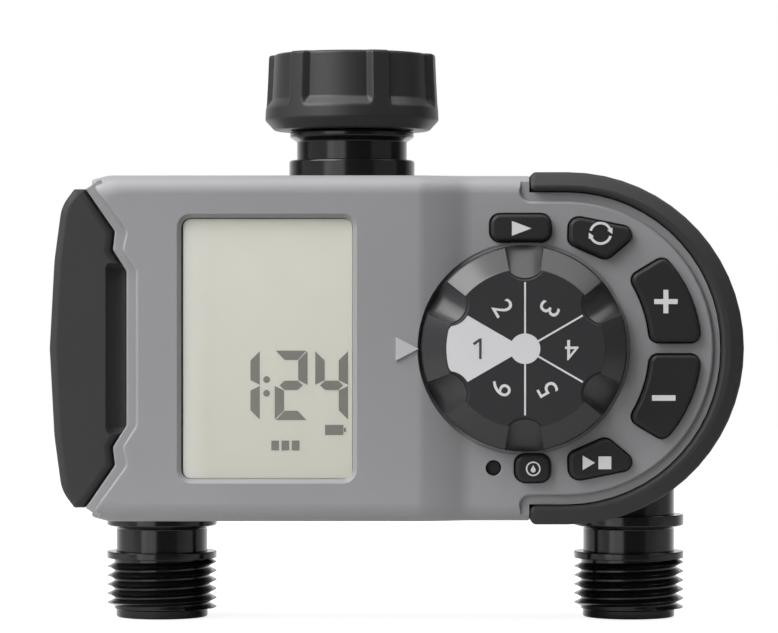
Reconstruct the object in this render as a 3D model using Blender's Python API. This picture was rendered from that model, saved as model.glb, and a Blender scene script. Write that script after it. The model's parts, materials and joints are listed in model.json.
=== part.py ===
"""A two-outlet water timer that screws onto a garden tap, built from its separate pieces.

Metres, +Z up, the front faces -Y. The origin is on the inlet axis, at the mouth of the swivel nut.
"""

import math

import bmesh
import bpy
from mathutils import Vector

# Clearances
FIT = 0.0003             # gap kept between pieces that seat on each other
SLIDE = 0.0004           # gap round a piece that slides
CELL_CLEAR = 0.0003      # gap round a battery cell
WELL_CLEAR = 0.0008      # gap round the dial in its well
SLOT_LAND = 0.0012       # web between the drawer slot and the shelf behind it

# Housing
WALL = 0.0020            # moulded wall
BODY_DROP = 0.0311       # nut mouth down to the top of the housing
BODY_HEIGHT = 0.0814
HALF = BODY_HEIGHT / 2
END_X = 0.0509           # centre of the round right end
CORNER_R = 0.0025        # where the top edge turns down to the battery door
LIP_WIDTH = 0.0023       # lower lip of the housing beside the battery door
LIP_SINK = 0.0012
PANEL_STEP = 0.0035      # display face stands this far in front of the control panel
SLOPE_START_X = 0.0166
SLOPE_END_X = 0.0263
PLATEAU_DROP = 0.0061    # raised control panel ends this far below the top of the housing
PLATEAU_R = HALF - PLATEAU_DROP
PLATEAU_X = 0.0400       # left end of the ledge cut beside it
PLATEAU_CORNER = 0.0024
LEDGE_DEPTH = 0.0012
BACK_INSET = 0.0004      # rear half of the housing stays inside the front outline
REAR_ROOM = 0.0032       # space between the valves and the rear wall
REAR_FILLET = 0.0040

# Side bumper
BUMPER_LAP = 0.0011      # bumper stands out past the housing
BUMPER_R = HALF + BUMPER_LAP
BUMPER_THICK = 0.0054
BUMPER_X = 0.0424        # left ends of the bumper
BUMPER_PROUD = 0.0022    # stands in front of the control panel
BUMPER_EDGE = 0.0020
FILLET_LAND = 0.0001     # flat between the rounded front edges and the bumper's seat
FACE_FILLET = BUMPER_THICK + FIT - BUMPER_LAP - FILLET_LAND

# Battery door: heights as drops below the top of the housing, widths in from the bowed left end
DOOR_BOW_X = -0.0707
DOOR_BOW = 0.0015
DOOR_SHOULDER_DROP = 0.0113
DOOR_SHOULDER = HALF - DOOR_SHOULDER_DROP
DOOR_SHOULDER_R = 0.0050
DOOR_CROWN_INSET = 0.0044
DOOR_CROWN_X = DOOR_BOW_X + DOOR_CROWN_INSET
DOOR_CROWN_DROP = 0.0038
DOOR_CROWN = HALF - DOOR_CROWN_DROP
DOOR_CROWN_R = 0.0030
DOOR_TIP_INSET = 0.0083
DOOR_TIP_X = DOOR_BOW_X + DOOR_TIP_INSET
DOOR_TIP_DROP = 0.0033
DOOR_TIP = HALF - DOOR_TIP_DROP
DOOR_NECK_INSET = 0.0152
DOOR_NECK_X = DOOR_BOW_X + DOOR_NECK_INSET
DOOR_NECK_DROP = 0.0133
DOOR_NECK = HALF - DOOR_NECK_DROP
DOOR_NOTCH_INSET = 0.0147
DOOR_NOTCH_X = DOOR_BOW_X + DOOR_NOTCH_INSET
DOOR_NOTCH_DROP = 0.0176
DOOR_NOTCH = HALF - DOOR_NOTCH_DROP
DOOR_INNER_INSET = 0.0179
DOOR_INNER_X = DOOR_BOW_X + DOOR_INNER_INSET
DOOR_INNER_DROP = 0.0226
DOOR_INNER = HALF - DOOR_INNER_DROP
DOOR_SINK = 0.0010       # door front lies behind the display face
DOOR_EDGE = 0.0024
DOOR_SKIN = 0.0025
DOOR_WEB = 0.0060        # solid web that carries the tray
GRIP_WIDTH = 0.0047      # finger grip along the inner edge
GRIP_X = DOOR_INNER_X - GRIP_WIDTH
GRIP_REACH = 0.0019      # grip runs past the straight inner edge
GRIP_HALF = DOOR_INNER + GRIP_REACH
GRIP_DEPTH = 0.0030

# Batteries and tray
CELL_R = 0.00725
CELL_LENGTH = 0.0505
CELL_NUB_R = 0.00275
CELL_NUB = 0.0013
TRAY_WALL = 0.0014
CONTACT_THICK = 0.0005
SPRING_ROOM = 0.0034
CONTACT_WIRE_R = 0.0004
CONTACT_WIDE_R = 0.0044
CONTACT_NARROW_R = 0.0025

# Display
WINDOW_LEFT_LAND = 0.0138    # housing between the door and the window
WINDOW_RIGHT_LAND = 0.0166   # and between the window and the slope
WINDOW_LEFT_X = DOOR_INNER_X + WINDOW_LEFT_LAND
WINDOW_RIGHT_X = SLOPE_START_X - WINDOW_RIGHT_LAND
WINDOW_X = (WINDOW_LEFT_X + WINDOW_RIGHT_X) / 2
WINDOW_WIDTH = WINDOW_RIGHT_X - WINDOW_LEFT_X
WINDOW_DROP = 0.0107     # housing above and below the window
WINDOW_HEIGHT = BODY_HEIGHT - 2 * WINDOW_DROP
WINDOW_CORNER = 0.0017
WINDOW_BEVEL = 0.0012
WINDOW_FLANGE = 0.0020
LENS_SINK = 0.0005
LENS_THICK = 0.0014
LCD_THICK = 0.0022
LCD_MARGIN = 0.0010
FRAME_WALL = 0.0018
STRIP_WIDTH = 0.0020

# Circuit board and controls
BOARD_THICK = 0.0016
BOARD_INSET = 0.0053     # board starts this far in from the door
BOARD_LEFT_X = DOOR_INNER_X + BOARD_INSET
BOARD_MARGIN = 0.0012
MEMBRANE_THICK = 0.0008
MEMBRANE_LEFT_X = 0.0290
MEMBRANE_HOLE_R = 0.0120
CHIP_SIDE = 0.0120
CHIP_THICK = 0.0016
CHIP_X = 0.0120
KEY_TRAVEL = 0.0010
KEY_FLANGE = 0.0007      # how far the retaining flange reaches past the key
KEY_FLANGE_THICK = 0.0008
KEY_PROUD = 0.0024
KEY_EDGE = 0.0008
KEY_LAND = 0.0033        # panel outside the plus and minus keys
KEY_OUTER_R = PLATEAU_R - KEY_LAND
KEY_OUTER_END = math.radians(43.5)
KEY_INNER_END = math.radians(34)
KEY_PAIR_GAP = 0.0030
KEY_CORNER = 0.0018
STATION_CORNERS = (      # (x from END_X, drop below the edge of the panel, radius)
    (0.0002, 0.0100, 0.0015),
    (0.0091, 0.0140, 0.0022),
    (0.0158, 0.0082, 0.0020),
    (0.0098, 0.0039, 0.0030),
    (0.0001, 0.0032, 0.0015),
)
ARROW_X = 0.0400
ARROW_DROP = 0.0063      # keys below and above the edges of the panel
ARROW_RISE = PLATEAU_R - ARROW_DROP
ARROW_WIDTH = 0.0145
ARROW_HEIGHT = 0.0066
RAIN_X = 0.0428
RAIN_DROP = 0.0065
RAIN_RISE = RAIN_DROP - PLATEAU_R
RAIN_WIDTH = 0.0083
RAIN_HEIGHT = 0.0067
RESET_X = 0.0337
RESET_HOLE_R = 0.0018
RESET_SINK = 0.0010
BOARD_SCREW_X = 0.0100
BOARD_SCREW_DROP = 0.0117
BOARD_SCREW_RISE = HALF - BOARD_SCREW_DROP

# Dial
DIAL_X = 0.04075
DIAL_LAND = 0.0104       # panel above the dial, for the arrow key
DIAL_R = PLATEAU_R - DIAL_LAND
DIAL_BAND = 0.0057       # sloping band round the dial's face
DIAL_FACE_R = DIAL_R - DIAL_BAND
DIAL_HEIGHT = 0.0085
DIAL_RIM = 0.0030        # straight part of the dial's rim
DIAL_SKIN = 0.0016
DIAL_HOLLOW = 0.0018
DIAL_FACE_THICK = 0.0006
DIAL_LIFT = 0.0004
WELL_SINK = 0.0003
HUB_R = 0.0060
SCALLOP_R = 0.0046
SCALLOP_LENGTH = 0.0081
SCALLOP_INNER = DIAL_R - SCALLOP_LENGTH
SCALLOP_SINK = 0.0008    # scallop axis below the dial's face
SCALLOPS = 6
DIAL_GAP = 0.0056        # panel between the dial and the plus and minus keys
KEY_INNER_R = DIAL_R + DIAL_GAP
SHAFT_R = 0.0030
CLIP_R = 0.0055
CLIP_THICK = 0.0008
SWITCH_R = 0.0080
SWITCH_DEPTH = 0.0060

# Inlet, a 3/4-11.5 hose coupling
PITCH = 0.002209
NUT_R = 0.0209
NUT_FLARE = 0.0004
NUT_HEIGHT = 0.0187
NUT_EDGE = 0.0016
NUT_CHAMFER = 0.0030
NUT_RIBS = 6
NUT_RIB_TURN = math.radians(20)
NUT_RIB_HALF = math.radians(5.5)
NUT_RIB_SIDE = math.radians(3.0)
NUT_RECESS = 0.0014
NUT_LEDGE_Z = -0.0125
NUT_THREAD_R = 0.0138    # bottom of the internal thread
NUT_MINOR_R = 0.0124
NUT_THREAD_TURNS = 2
NUT_WEB = 0.0043
HEAD_R = 0.0118
HEAD_THICK = 0.0023
STEM_R = 0.0102
INLET_BORE_R = 0.0080
INLET_FLANGE_R = 0.0152
INLET_FLANGE = 0.0025
INLET_NECK_R = 0.0135
INLET_NECK = 0.0045
INLET_COLLAR_R = 0.0154
SPIGOT_R = 0.0096
SPIGOT_WALL = 0.0022
SPIGOT_LENGTH = 0.0110
SPIGOT_SHANK_R = 0.0122
RING_WIRE_R = 0.0010     # O-ring section
RING_SQUEEZE = 0.85      # share of its thickness left once it is fitted
WASHER_THICK = 0.0028
FILTER_FLANGE_R = 0.0105
FILTER_R = 0.0072
FILTER_TIP_R = 0.0050
FILTER_DEPTH = 0.0140
FILTER_WALL = 0.0007

# Outlets and valves
OUTLET_LEFT_INSET = 0.0240   # in from the bowed left end
OUTLET_RIGHT_REACH = 0.0171  # out from the centre of the round end
OUTLET_LEFT_X = DOOR_BOW_X + OUTLET_LEFT_INSET
OUTLET_SPAN = END_X + OUTLET_RIGHT_REACH - OUTLET_LEFT_X
OUTLET_R = 0.0135        # crest of the male thread, and the flanges above it
OUTLET_ROOT_R = 0.01175
OUTLET_TIP_R = 0.01125
OUTLET_TIP = 0.0028
OUTLET_BORE_R = 0.0080
OUTLET_FLANGE = 0.0026
OUTLET_CONE = 0.0007      # sloping underside of the flange
OUTLET_NECK = 0.0064
OUTLET_COLLAR = 0.0017
OUTLET_TURNS = 4
TUBE_R = 0.0112
VALVE_R = 0.0118
VALVE_WALL = 0.0018
VALVE_RISE = 0.0185      # chamber bottom above the bottom of the housing
VALVE_HEIGHT = 0.0110
VALVE_FLOOR = 0.0020
SEAT_R = 0.0066
SEAT_BORE_R = 0.0048
SEAT_DROP = 0.0024       # valve seat below the rim of the chamber
DIAPHRAGM_THICK = 0.0012
PILOT_R = 0.0007
BONNET_THICK = 0.0042
COIL_R = 0.0095
COIL_FLANGE = 0.0016
COIL_WINDING = 0.0007    # winding lies inside the bobbin flanges
COIL_ROOM = 0.0564       # housing height not taken by the coil
COIL_HEIGHT = BODY_HEIGHT - COIL_ROOM
CORE_HEIGHT = 0.0030
PLUNGER_R = 0.0038
PLUNGER_DROP = 0.0110    # plunger shorter than the coil, for its spring and the core
PLUNGER_LENGTH = COIL_HEIGHT - PLUNGER_DROP
PLUNGER_WIRE_R = 0.0004
SOCKET_WALL = 0.0020
DOWNPIPE_R = 0.0072
CROSS_R = 0.0052
CROSS_BORE_R = 0.0024
PORT_R = 0.0034
LEAD_R = 0.0009

# Screws
SCREW_HEAD_R = 0.0026
SCREW_HEAD = 0.0018
SCREW_CROWN_R = 0.0018
SCREW_R = 0.0013
BOSS_R = 0.0034
BOSS_INSET = 0.0027      # boss axis inside the inner wall
POST_FLOOR = 0.0035
SCREW_LENGTH = 0.0110
TOP_SCREWS_X = (-0.0280, 0.0270)
BOTTOM_SCREWS_X = (-0.0200, 0.0300)

# Mesh fineness
FINE = 18
COARSE = 12
STEP_ANGLE = math.radians(24)

# Depths worked out from the water axis forwards
SHELF_Y = -(VALVE_R + FIT + WALL)
TRAY_BACK_Y = SHELF_Y - SLOT_LAND - SLIDE
CELL_Y = TRAY_BACK_Y - TRAY_WALL - CELL_CLEAR - CELL_R
TRAY_FRONT_Y = CELL_Y - CELL_R - CELL_CLEAR
BOARD_BACK_Y = TRAY_FRONT_Y - FIT
BOARD_Y = BOARD_BACK_Y - BOARD_THICK
MEMBRANE_Y = BOARD_Y - FIT - MEMBRANE_THICK
KEY_BACK_Y = MEMBRANE_Y - FIT - KEY_TRAVEL
KEY_FLANGE_Y = KEY_BACK_Y - KEY_FLANGE_THICK
PANEL_Y = KEY_FLANGE_Y - FIT - WALL
FACE_Y = PANEL_Y - PANEL_STEP
REAR_Y = VALVE_R + REAR_ROOM + WALL
DOOR_Y = FACE_Y + DOOR_SINK
DIAL_BASE_Y = PANEL_Y - DIAL_LIFT
DIAL_TOP_Y = DIAL_BASE_Y - DIAL_HEIGHT
LENS_BACK_Y = FACE_Y + WALL + FIT + LENS_THICK
LCD_BACK_Y = LENS_BACK_Y + FIT + LCD_THICK

# Heights worked out from the nut mouth down
TOP_Z = -BODY_DROP
MID_Z = TOP_Z - HALF
BOTTOM_Z = TOP_Z - BODY_HEIGHT
CHAMBER_BOTTOM_Z = BOTTOM_Z + VALVE_RISE
CHAMBER_TOP_Z = CHAMBER_BOTTOM_Z + VALVE_HEIGHT
SEAT_Z = CHAMBER_TOP_Z - SEAT_DROP
BONNET_Z = CHAMBER_TOP_Z + 2 * FIT + DIAPHRAGM_THICK
BONNET_TOP_Z = BONNET_Z + BONNET_THICK
COIL_Z = BONNET_TOP_Z + FIT
COIL_TOP_Z = COIL_Z + COIL_HEIGHT
CROSS_Z = (CHAMBER_BOTTOM_Z + VALVE_FLOOR + CHAMBER_TOP_Z) / 2
OUTLET_XS = {"left": OUTLET_LEFT_X, "right": OUTLET_LEFT_X + OUTLET_SPAN}
CELL_XS = (
    DOOR_INNER_X + FIT + TRAY_WALL + CELL_CLEAR + CELL_R,
    DOOR_INNER_X + FIT + TRAY_WALL + 2 * CELL_CLEAR + 3 * CELL_R,
)
BAY_HALF = (CELL_LENGTH + SPRING_ROOM + CONTACT_THICK + 2 * FIT) / 2


# Clearing the scene and making materials

for old in list(bpy.data.objects):
    bpy.data.objects.remove(old, do_unlink=True)


def material(name, colour, roughness, metallic=0.0, alpha=1.0):
    made = bpy.data.materials.new(name)
    made.use_nodes = True
    shader = made.node_tree.nodes["Principled BSDF"]
    shader.inputs["Base Color"].default_value = (*colour, 1.0)
    shader.inputs["Roughness"].default_value = roughness
    shader.inputs["Metallic"].default_value = metallic
    shader.inputs["Alpha"].default_value = alpha
    made.diffuse_color = (*colour, alpha)
    return made


GREY = material("housing_grey", (0.29, 0.29, 0.30), 0.55)
BLACK = material("black_plastic", (0.012, 0.012, 0.013), 0.35)
SOFT = material("bumper_rubber", (0.045, 0.045, 0.047), 0.70)
KEY = material("key_rubber", (0.025, 0.025, 0.026), 0.60)
LENS = material("clear_lens", (0.92, 0.93, 0.90), 0.05, alpha=0.25)
LCD = material("lcd_glass", (0.62, 0.61, 0.53), 0.20)
PRINT = material("dial_print", (0.035, 0.035, 0.037), 0.50)
BOARD = material("circuit_green", (0.02, 0.14, 0.06), 0.45)
WHITE = material("white_plastic", (0.70, 0.70, 0.68), 0.50)
STEEL = material("spring_steel", (0.62, 0.62, 0.62), 0.25, 1.0)
COPPER = material("winding", (0.55, 0.25, 0.12), 0.35, 0.8)
RUBBER = material("seal_rubber", (0.02, 0.02, 0.02), 0.75)
CELL = material("cell_jacket", (0.10, 0.20, 0.12), 0.35, 0.3)
INSULATION = material("lead_insulation", (0.35, 0.03, 0.02), 0.50)


# Outlines in the XZ plane, as corners (x, z, radius) in counter-clockwise order from the front

def turn_of(before, here, after):
    into = (Vector(here[:2]) - Vector(before[:2])).normalized()
    out = (Vector(after[:2]) - Vector(here[:2])).normalized()
    angle = math.atan2(into.x * out.y - into.y * out.x, into.dot(out))
    return into, out, angle


def grown(corners, distance):
    """The corners moved outwards by a distance, with their radii changed to suit."""
    result = []
    for i, here in enumerate(corners):
        into, out, angle = turn_of(corners[i - 1], here, corners[(i + 1) % len(corners)])
        normals = Vector((into.y, -into.x)) + Vector((out.y, -out.x))
        moved = Vector(here[:2]) + normals * distance / (1 + into.dot(out))
        radius = here[2]
        if radius:
            radius = max(radius + math.copysign(distance, angle * distance), 0.00005)
        result.append((moved.x, moved.y, radius))
    return result


def outline(corners):
    """The points of an outline, with an arc at each corner that has a radius."""
    points = []
    for i, here in enumerate(corners):
        into, out, angle = turn_of(corners[i - 1], here, corners[(i + 1) % len(corners)])
        corner = Vector(here[:2])
        if not here[2]:
            points.append(corner)
            continue
        reach = here[2] * math.tan(abs(angle) / 2)
        start = corner - into * reach
        side = math.copysign(1, angle)
        centre = start + Vector((-into.y, into.x)) * here[2] * side
        steps = max(2, math.ceil(abs(angle) / STEP_ANGLE))
        spoke = start - centre
        for k in range(steps + 1):
            turned_by = angle * k / steps
            cos, sin = math.cos(turned_by), math.sin(turned_by)
            points.append(centre + Vector((spoke.x * cos - spoke.y * sin, spoke.x * sin + spoke.y * cos)))
    apart = [p for i, p in enumerate(points) if (p - points[i - 1]).length > 1e-6]
    return apart


def mirrored(corners):
    """The corners reflected above and below the middle of the housing."""
    return [(x, 2 * MID_Z - z, radius) for x, z, radius in reversed(corners)]


def rectangle(x, z, width, height, radius=0.0):
    left, right = x - width / 2, x + width / 2
    low, high = z - height / 2, z + height / 2
    return [(left, low, radius), (right, low, radius), (right, high, radius), (left, high, radius)]


def circle(x, z, radius, steps=COARSE):
    return [
        (x + radius * math.cos(2 * math.pi * k / steps), z + radius * math.sin(2 * math.pi * k / steps), 0.0)
        for k in range(steps)
    ]


# Turning outlines and profiles into solids

def new_object(name, bm, finish):
    bmesh.ops.recalc_face_normals(bm, faces=bm.faces)
    mesh = bpy.data.meshes.new(name)
    bm.to_mesh(mesh)
    bm.free()
    mesh.shade_smooth()
    mesh.set_sharp_from_angle(angle=math.radians(35))
    made = bpy.data.objects.new(name, mesh)
    bpy.context.scene.collection.objects.link(made)
    if finish:
        mesh.materials.append(finish)
    else:
        made.hide_render = True
        made.display_type = "WIRE"
    return made


def bridge(bm, first, second):
    """Quads between two rings of the same count, or a fan where one of them is a single point."""
    count = max(len(first), len(second))
    for j in range(count):
        a, b = first[j % len(first)], first[(j + 1) % len(first)]
        c, d = second[(j + 1) % len(second)], second[j % len(second)]
        face = list(dict.fromkeys((a, b, c, d)))
        bm.faces.new(face)


def stack(name, layers, finish, ring=False):
    """A solid through outlines at increasing depths, given as (corners, y). A ring joins its ends."""
    bm = bmesh.new()
    rings = [[bm.verts.new((p.x, y, p.y)) for p in outline(corners)] for corners, y in layers]
    for first, second in zip(rings, rings[1:]):
        bridge(bm, first, second)
    if ring:
        bridge(bm, rings[-1], rings[0])
    else:
        bm.faces.new(rings[0])
        bm.faces.new(rings[-1])
    return new_object(name, bm, finish)


def filleted(corners, y_edge, y_end, radius, steps=3):
    """Layers of a block whose front or rear edge, at y_edge, is rounded over."""
    inward = math.copysign(1, y_end - y_edge)
    layers = []
    for k in range(steps + 1):
        angle = math.pi / 2 * k / steps
        inset = radius * (1 - math.sin(angle))
        layers.append((grown(corners, -inset), y_edge + inward * radius * (1 - math.cos(angle))))
    layers.append((corners, y_end))
    return layers


def even_angles(count):
    """Angles of the columns of a turned piece, half a step away from the axes."""
    return [2 * math.pi * (j + 0.5) / count for j in range(count)]


def placed(axis, centre, radius, along, angle):
    """A point of a turned piece whose axis runs along X, Y or Z through centre."""
    u, v = radius * math.cos(angle), radius * math.sin(angle)
    if axis == "X":
        return (along, centre[0] + u, centre[1] + v)
    if axis == "Y":
        return (centre[0] + u, along, centre[1] + v)
    return (centre[0] + u, centre[1] + v, along)


def turned(name, profile, finish, axis="Z", centre=(0.0, 0.0), angles=None, loop=False, dips=None):
    """A solid of revolution.

    The profile holds (radius, along) points, (radius, along, dip) points whose radius shrinks by dip
    where dips is 1, and threads made by thread(). A radius of 0 is a point, and a loop has a bore.
    """
    bm = bmesh.new()
    angles = angles or even_angles(COARSE)
    dips = dips or [0.0] * len(angles)
    above = first = None
    for item in profile:
        if isinstance(item, dict):
            above = wind(bm, item, above, angles, axis, centre)
            continue
        radius, along, dip = (*item, 0.0)[:3]
        if radius == 0:
            row = [bm.verts.new(placed(axis, centre, 0, along, 0))]
        else:
            row = [
                bm.verts.new(placed(axis, centre, radius - dip * share, along, angle))
                for angle, share in zip(angles, dips)
            ]
        if isinstance(above, list):
            bridge(bm, above, row)
        elif above:
            above(row)
        above = row
        first = first or row
    if loop:
        bridge(bm, above, first)
    else:
        for row in (first, above):
            if len(row) > 1:
                bm.faces.new(row)
    return new_object(name, bm, finish)


def thread(start, turns, base_r, crest_r, way):
    """A helical thread from start, which runs up or down by way and fades out at both ends."""
    return {"start": start, "turns": turns, "base": base_r, "crest": crest_r, "way": way}


def thread_length(turns):
    return PITCH * (turns + 1)


def wind(bm, spec, above, angles, axis, centre):
    """Adds the rows of a thread below the row above it. The result takes the row that follows."""
    flank = (0.0, 0.3, 0.5, 0.8)
    last = 4 * spec["turns"]
    columns = len(angles)
    rows = []
    for k in range(last + 1):
        row = []
        for angle in angles:
            turn = k // 4 + flank[k % 4] + abs(angle) / (2 * math.pi)
            fade = max(0.0, min(1.0, turn, spec["turns"] + 1 - turn))
            height = (spec["crest"] - spec["base"]) * fade * (k % 4 in (1, 2))
            along = spec["start"] + spec["way"] * PITCH * turn
            row.append(bm.verts.new(placed(axis, centre, spec["base"] + height, along, angle)))
        rows.append(row)
    end = columns - 1
    for j in range(end):
        bm.faces.new((above[j], above[j + 1], rows[0][j + 1], rows[0][j]))
        for k in range(last):
            bm.faces.new((rows[k][j], rows[k][j + 1], rows[k + 1][j + 1], rows[k + 1][j]))
    for k in range(last - 4):
        bm.faces.new((rows[k][end], rows[k + 4][0], rows[k + 5][0], rows[k + 1][end]))
    bm.faces.new([above[end], above[0]] + [rows[k][0] for k in range(5)] + [rows[0][end]])

    def follow(below):
        for j in range(end):
            bm.faces.new((rows[last][j], rows[last][j + 1], below[j + 1], below[j]))
        bm.faces.new([below[end], below[0], rows[last][0]] + [rows[last - 4 + k][end] for k in range(5)])

    return follow


def box(name, low, high, finish=None):
    corners = [(low[0], low[2], 0.0), (high[0], low[2], 0.0), (high[0], high[2], 0.0), (low[0], high[2], 0.0)]
    return stack(name, [(corners, low[1]), (corners, high[1])], finish)


def rod(name, axis, centre, radius, start, end, finish=None, columns=COARSE):
    profile = [(radius, start), (radius, end)]
    return turned(name, profile, finish, axis, centre, even_angles(columns))


def combine(target, tool, operation):
    step = target.modifiers.new(tool.name, "BOOLEAN")
    step.operation = operation
    step.solver = "EXACT"
    step.object = tool


def cut(target, tool):
    combine(target, tool, "DIFFERENCE")


def join(target, tool):
    combine(target, tool, "UNION")


def wire(name, points, radius, finish, sides=1):
    """A round wire or lead along points, with closed ends."""
    curve = bpy.data.curves.new(name, "CURVE")
    curve.dimensions = "3D"
    curve.bevel_depth = radius
    curve.bevel_resolution = sides
    curve.use_fill_caps = True
    spline = curve.splines.new("POLY")
    spline.points.add(len(points) - 1)
    for point, place in zip(spline.points, points):
        point.co = (*place, 1.0)
    curve.materials.append(finish)
    made = bpy.data.objects.new(name, curve)
    bpy.context.scene.collection.objects.link(made)
    return made


def helix(x, y, low, high, radius_low, radius_high, turns):
    steps = 8 * turns
    points = []
    for k in range(steps + 1):
        share = k / steps
        angle = 2 * math.pi * turns * share
        radius = radius_low + (radius_high - radius_low) * share
        points.append((x + radius * math.cos(angle), y + radius * math.sin(angle), low + (high - low) * share))
    return points


def smooth_route(points, steps=4):
    """Points along a smooth curve through the given ones."""
    route = []
    for i in range(len(points) - 1):
        p0 = Vector(points[max(i - 1, 0)])
        p1, p2 = Vector(points[i]), Vector(points[i + 1])
        p3 = Vector(points[min(i + 2, len(points) - 1)])
        for k in range(steps):
            t = k / steps
            blend = p1 * 2 + (p2 - p0) * t
            blend += (p0 * 2 - p1 * 5 + p2 * 4 - p3) * t ** 2
            blend += (p1 * 3 - p0 - p2 * 3 + p3) * t ** 3
            route.append(tuple(blend / 2))
    route.append(tuple(points[-1]))
    return route


def carried_by(name, place, *pieces):
    """An empty on a joint's axis, with the pieces that move with it as its children."""
    empty = bpy.data.objects.new(name, None)
    empty.location = place
    bpy.context.scene.collection.objects.link(empty)
    bpy.context.view_layer.update()
    for piece in pieces:
        piece.parent = empty
        piece.matrix_parent_inverse = empty.matrix_world.inverted()


# Shared outlines

def door_side():
    """Upper half of the door's edge next to the housing, from the middle up."""
    return [
        (DOOR_INNER_X, MID_Z + DOOR_INNER, 0.0),
        (DOOR_NOTCH_X, MID_Z + DOOR_NOTCH, 0.0),
        (DOOR_NECK_X, MID_Z + DOOR_NECK, 0.0),
        (DOOR_TIP_X, MID_Z + DOOR_TIP, 0.0),
    ]


def lip_x(height):
    """Where the inner side of the lip would be at a height above the middle, on its upper slant."""
    run = (DOOR_TIP_X - DOOR_NECK_X) / (DOOR_TIP - DOOR_NECK)
    return DOOR_NECK_X + FIT + LIP_WIDTH * math.hypot(1, run) + run * (height - DOOR_NECK)


def front_outline(drop=0.0):
    """The block of the housing that carries the display and the controls, lower by drop at top and bottom."""
    inner_r = BUMPER_R - BUMPER_THICK - FIT
    step_x = BUMPER_X - FIT
    top = HALF - drop
    upper = [
        (END_X + inner_r, MID_Z + inner_r, inner_r),
        (step_x, MID_Z + inner_r, 0.0),
        (step_x, MID_Z + top, 0.0),
        (lip_x(top), MID_Z + top, CORNER_R),
        (lip_x(DOOR_NECK), MID_Z + DOOR_NECK, 0.0),
        (DOOR_NOTCH_X + FIT + LIP_WIDTH, MID_Z + DOOR_NOTCH, 0.0),
        (DOOR_INNER_X + FIT + LIP_WIDTH, MID_Z + DOOR_INNER, 0.0),
    ]
    return upper + mirrored(upper)


def crowned(y_edge, y_end, radius, margin, steps=3):
    """Layers of the block, moved outwards by margin, with its top and bottom front edges rounded over."""
    layers = []
    for k in range(steps + 1):
        angle = math.pi / 2 * k / steps
        drop = radius * (1 - math.sin(angle))
        layers.append((grown(front_outline(drop), margin), y_edge + radius * (1 - math.cos(angle))))
    layers.append((grown(front_outline(), margin), y_end))
    return layers


def lip_outline():
    """The lip that follows the battery door, with its right side inside the block."""
    edge = [(x + FIT, z, radius) for x, z, radius in reversed(door_side())]
    root_x = DOOR_INNER_X + FIT + LIP_WIDTH + WALL / 2
    upper = [
        (root_x, MID_Z + DOOR_INNER, 0.0),
        (lip_x(DOOR_NECK) + WALL / 2, MID_Z + DOOR_NECK, 0.0),
        (lip_x(DOOR_TIP) + WALL / 2, MID_Z + DOOR_TIP, 0.0),
    ]
    upper += edge
    return upper + mirrored(upper)


def back_outline():
    """The rear part of the housing, behind the door and the bumper."""
    end_r = HALF - BACK_INSET
    shoulder_x = DOOR_BOW_X + DOOR_BOW
    inset = WALL / 2
    upper = [
        (END_X + end_r, MID_Z + end_r, end_r),
        (lip_x(HALF) + DOOR_SHOULDER_R, MID_Z + end_r, DOOR_SHOULDER_R),
        (DOOR_CROWN_X + inset, MID_Z + DOOR_CROWN - inset, DOOR_CROWN_R),
        (shoulder_x + inset, MID_Z + DOOR_SHOULDER, DOOR_SHOULDER_R),
    ]
    return upper + mirrored(upper)


def plus_key():
    """The plus key: round on the outside, hollow towards the dial."""
    low = MID_Z + KEY_PAIR_GAP / 2
    foot = math.asin((low - MID_Z) / KEY_OUTER_R)
    outer = [foot + (KEY_OUTER_END - foot) * k / 4 for k in range(5)]
    heel = math.asin((low - MID_Z) / KEY_INNER_R)
    inner = [KEY_INNER_END + (heel - KEY_INNER_END) * k / 3 for k in range(4)]
    corners = [(END_X + KEY_OUTER_R * math.cos(a), MID_Z + KEY_OUTER_R * math.sin(a)) for a in outer]
    corners += [(DIAL_X + KEY_INNER_R * math.cos(a), MID_Z + KEY_INNER_R * math.sin(a)) for a in inner]
    rounded = (0, len(outer) - 1, len(outer), len(corners) - 1)
    return [(x, z, KEY_CORNER if i in rounded else 0.0) for i, (x, z) in enumerate(corners)]


def station_key():
    """The five-sided key beside the plus key, placed from the centre of the round end."""
    return [(END_X + x, MID_Z + PLATEAU_R - drop, radius) for x, drop, radius in STATION_CORNERS]


def key_outlines():
    return {
        "arrow_key": rectangle(ARROW_X, MID_Z + ARROW_RISE, ARROW_WIDTH, ARROW_HEIGHT, KEY_CORNER),
        "station_key": station_key(),
        "plus_key": plus_key(),
        "minus_key": mirrored(plus_key()),
        "manual_key": mirrored(station_key()),
        "rain_delay_key": rectangle(RAIN_X, MID_Z + RAIN_RISE, RAIN_WIDTH, RAIN_HEIGHT, KEY_CORNER),
    }


def window_outline():
    return rectangle(WINDOW_X, MID_Z, WINDOW_WIDTH, WINDOW_HEIGHT, WINDOW_CORNER)


def screw_places():
    """(x, z) of the housing screws: two along the top, two along the bottom and one at each end."""
    inside = HALF - BACK_INSET - WALL - BOSS_INSET
    places = [(x, MID_Z + inside) for x in TOP_SCREWS_X]
    places += [(x, MID_Z - inside) for x in BOTTOM_SCREWS_X]
    places.append((END_X + inside, MID_Z))
    places.append((DOOR_BOW_X + DOOR_BOW + WALL / 2 + WALL + BOSS_INSET, MID_Z))
    return places


def board_screw_places():
    return [(BOARD_SCREW_X, MID_Z + side * BOARD_SCREW_RISE) for side in (1, -1)]


def tray_box():
    """Low and high corners of the battery tray."""
    right = CELL_XS[1] + CELL_R + CELL_CLEAR + TRAY_WALL
    half = BAY_HALF + TRAY_WALL
    return (DOOR_INNER_X + FIT, TRAY_FRONT_Y, MID_Z - half), (right, TRAY_BACK_Y, MID_Z + half)


# The housing

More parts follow.
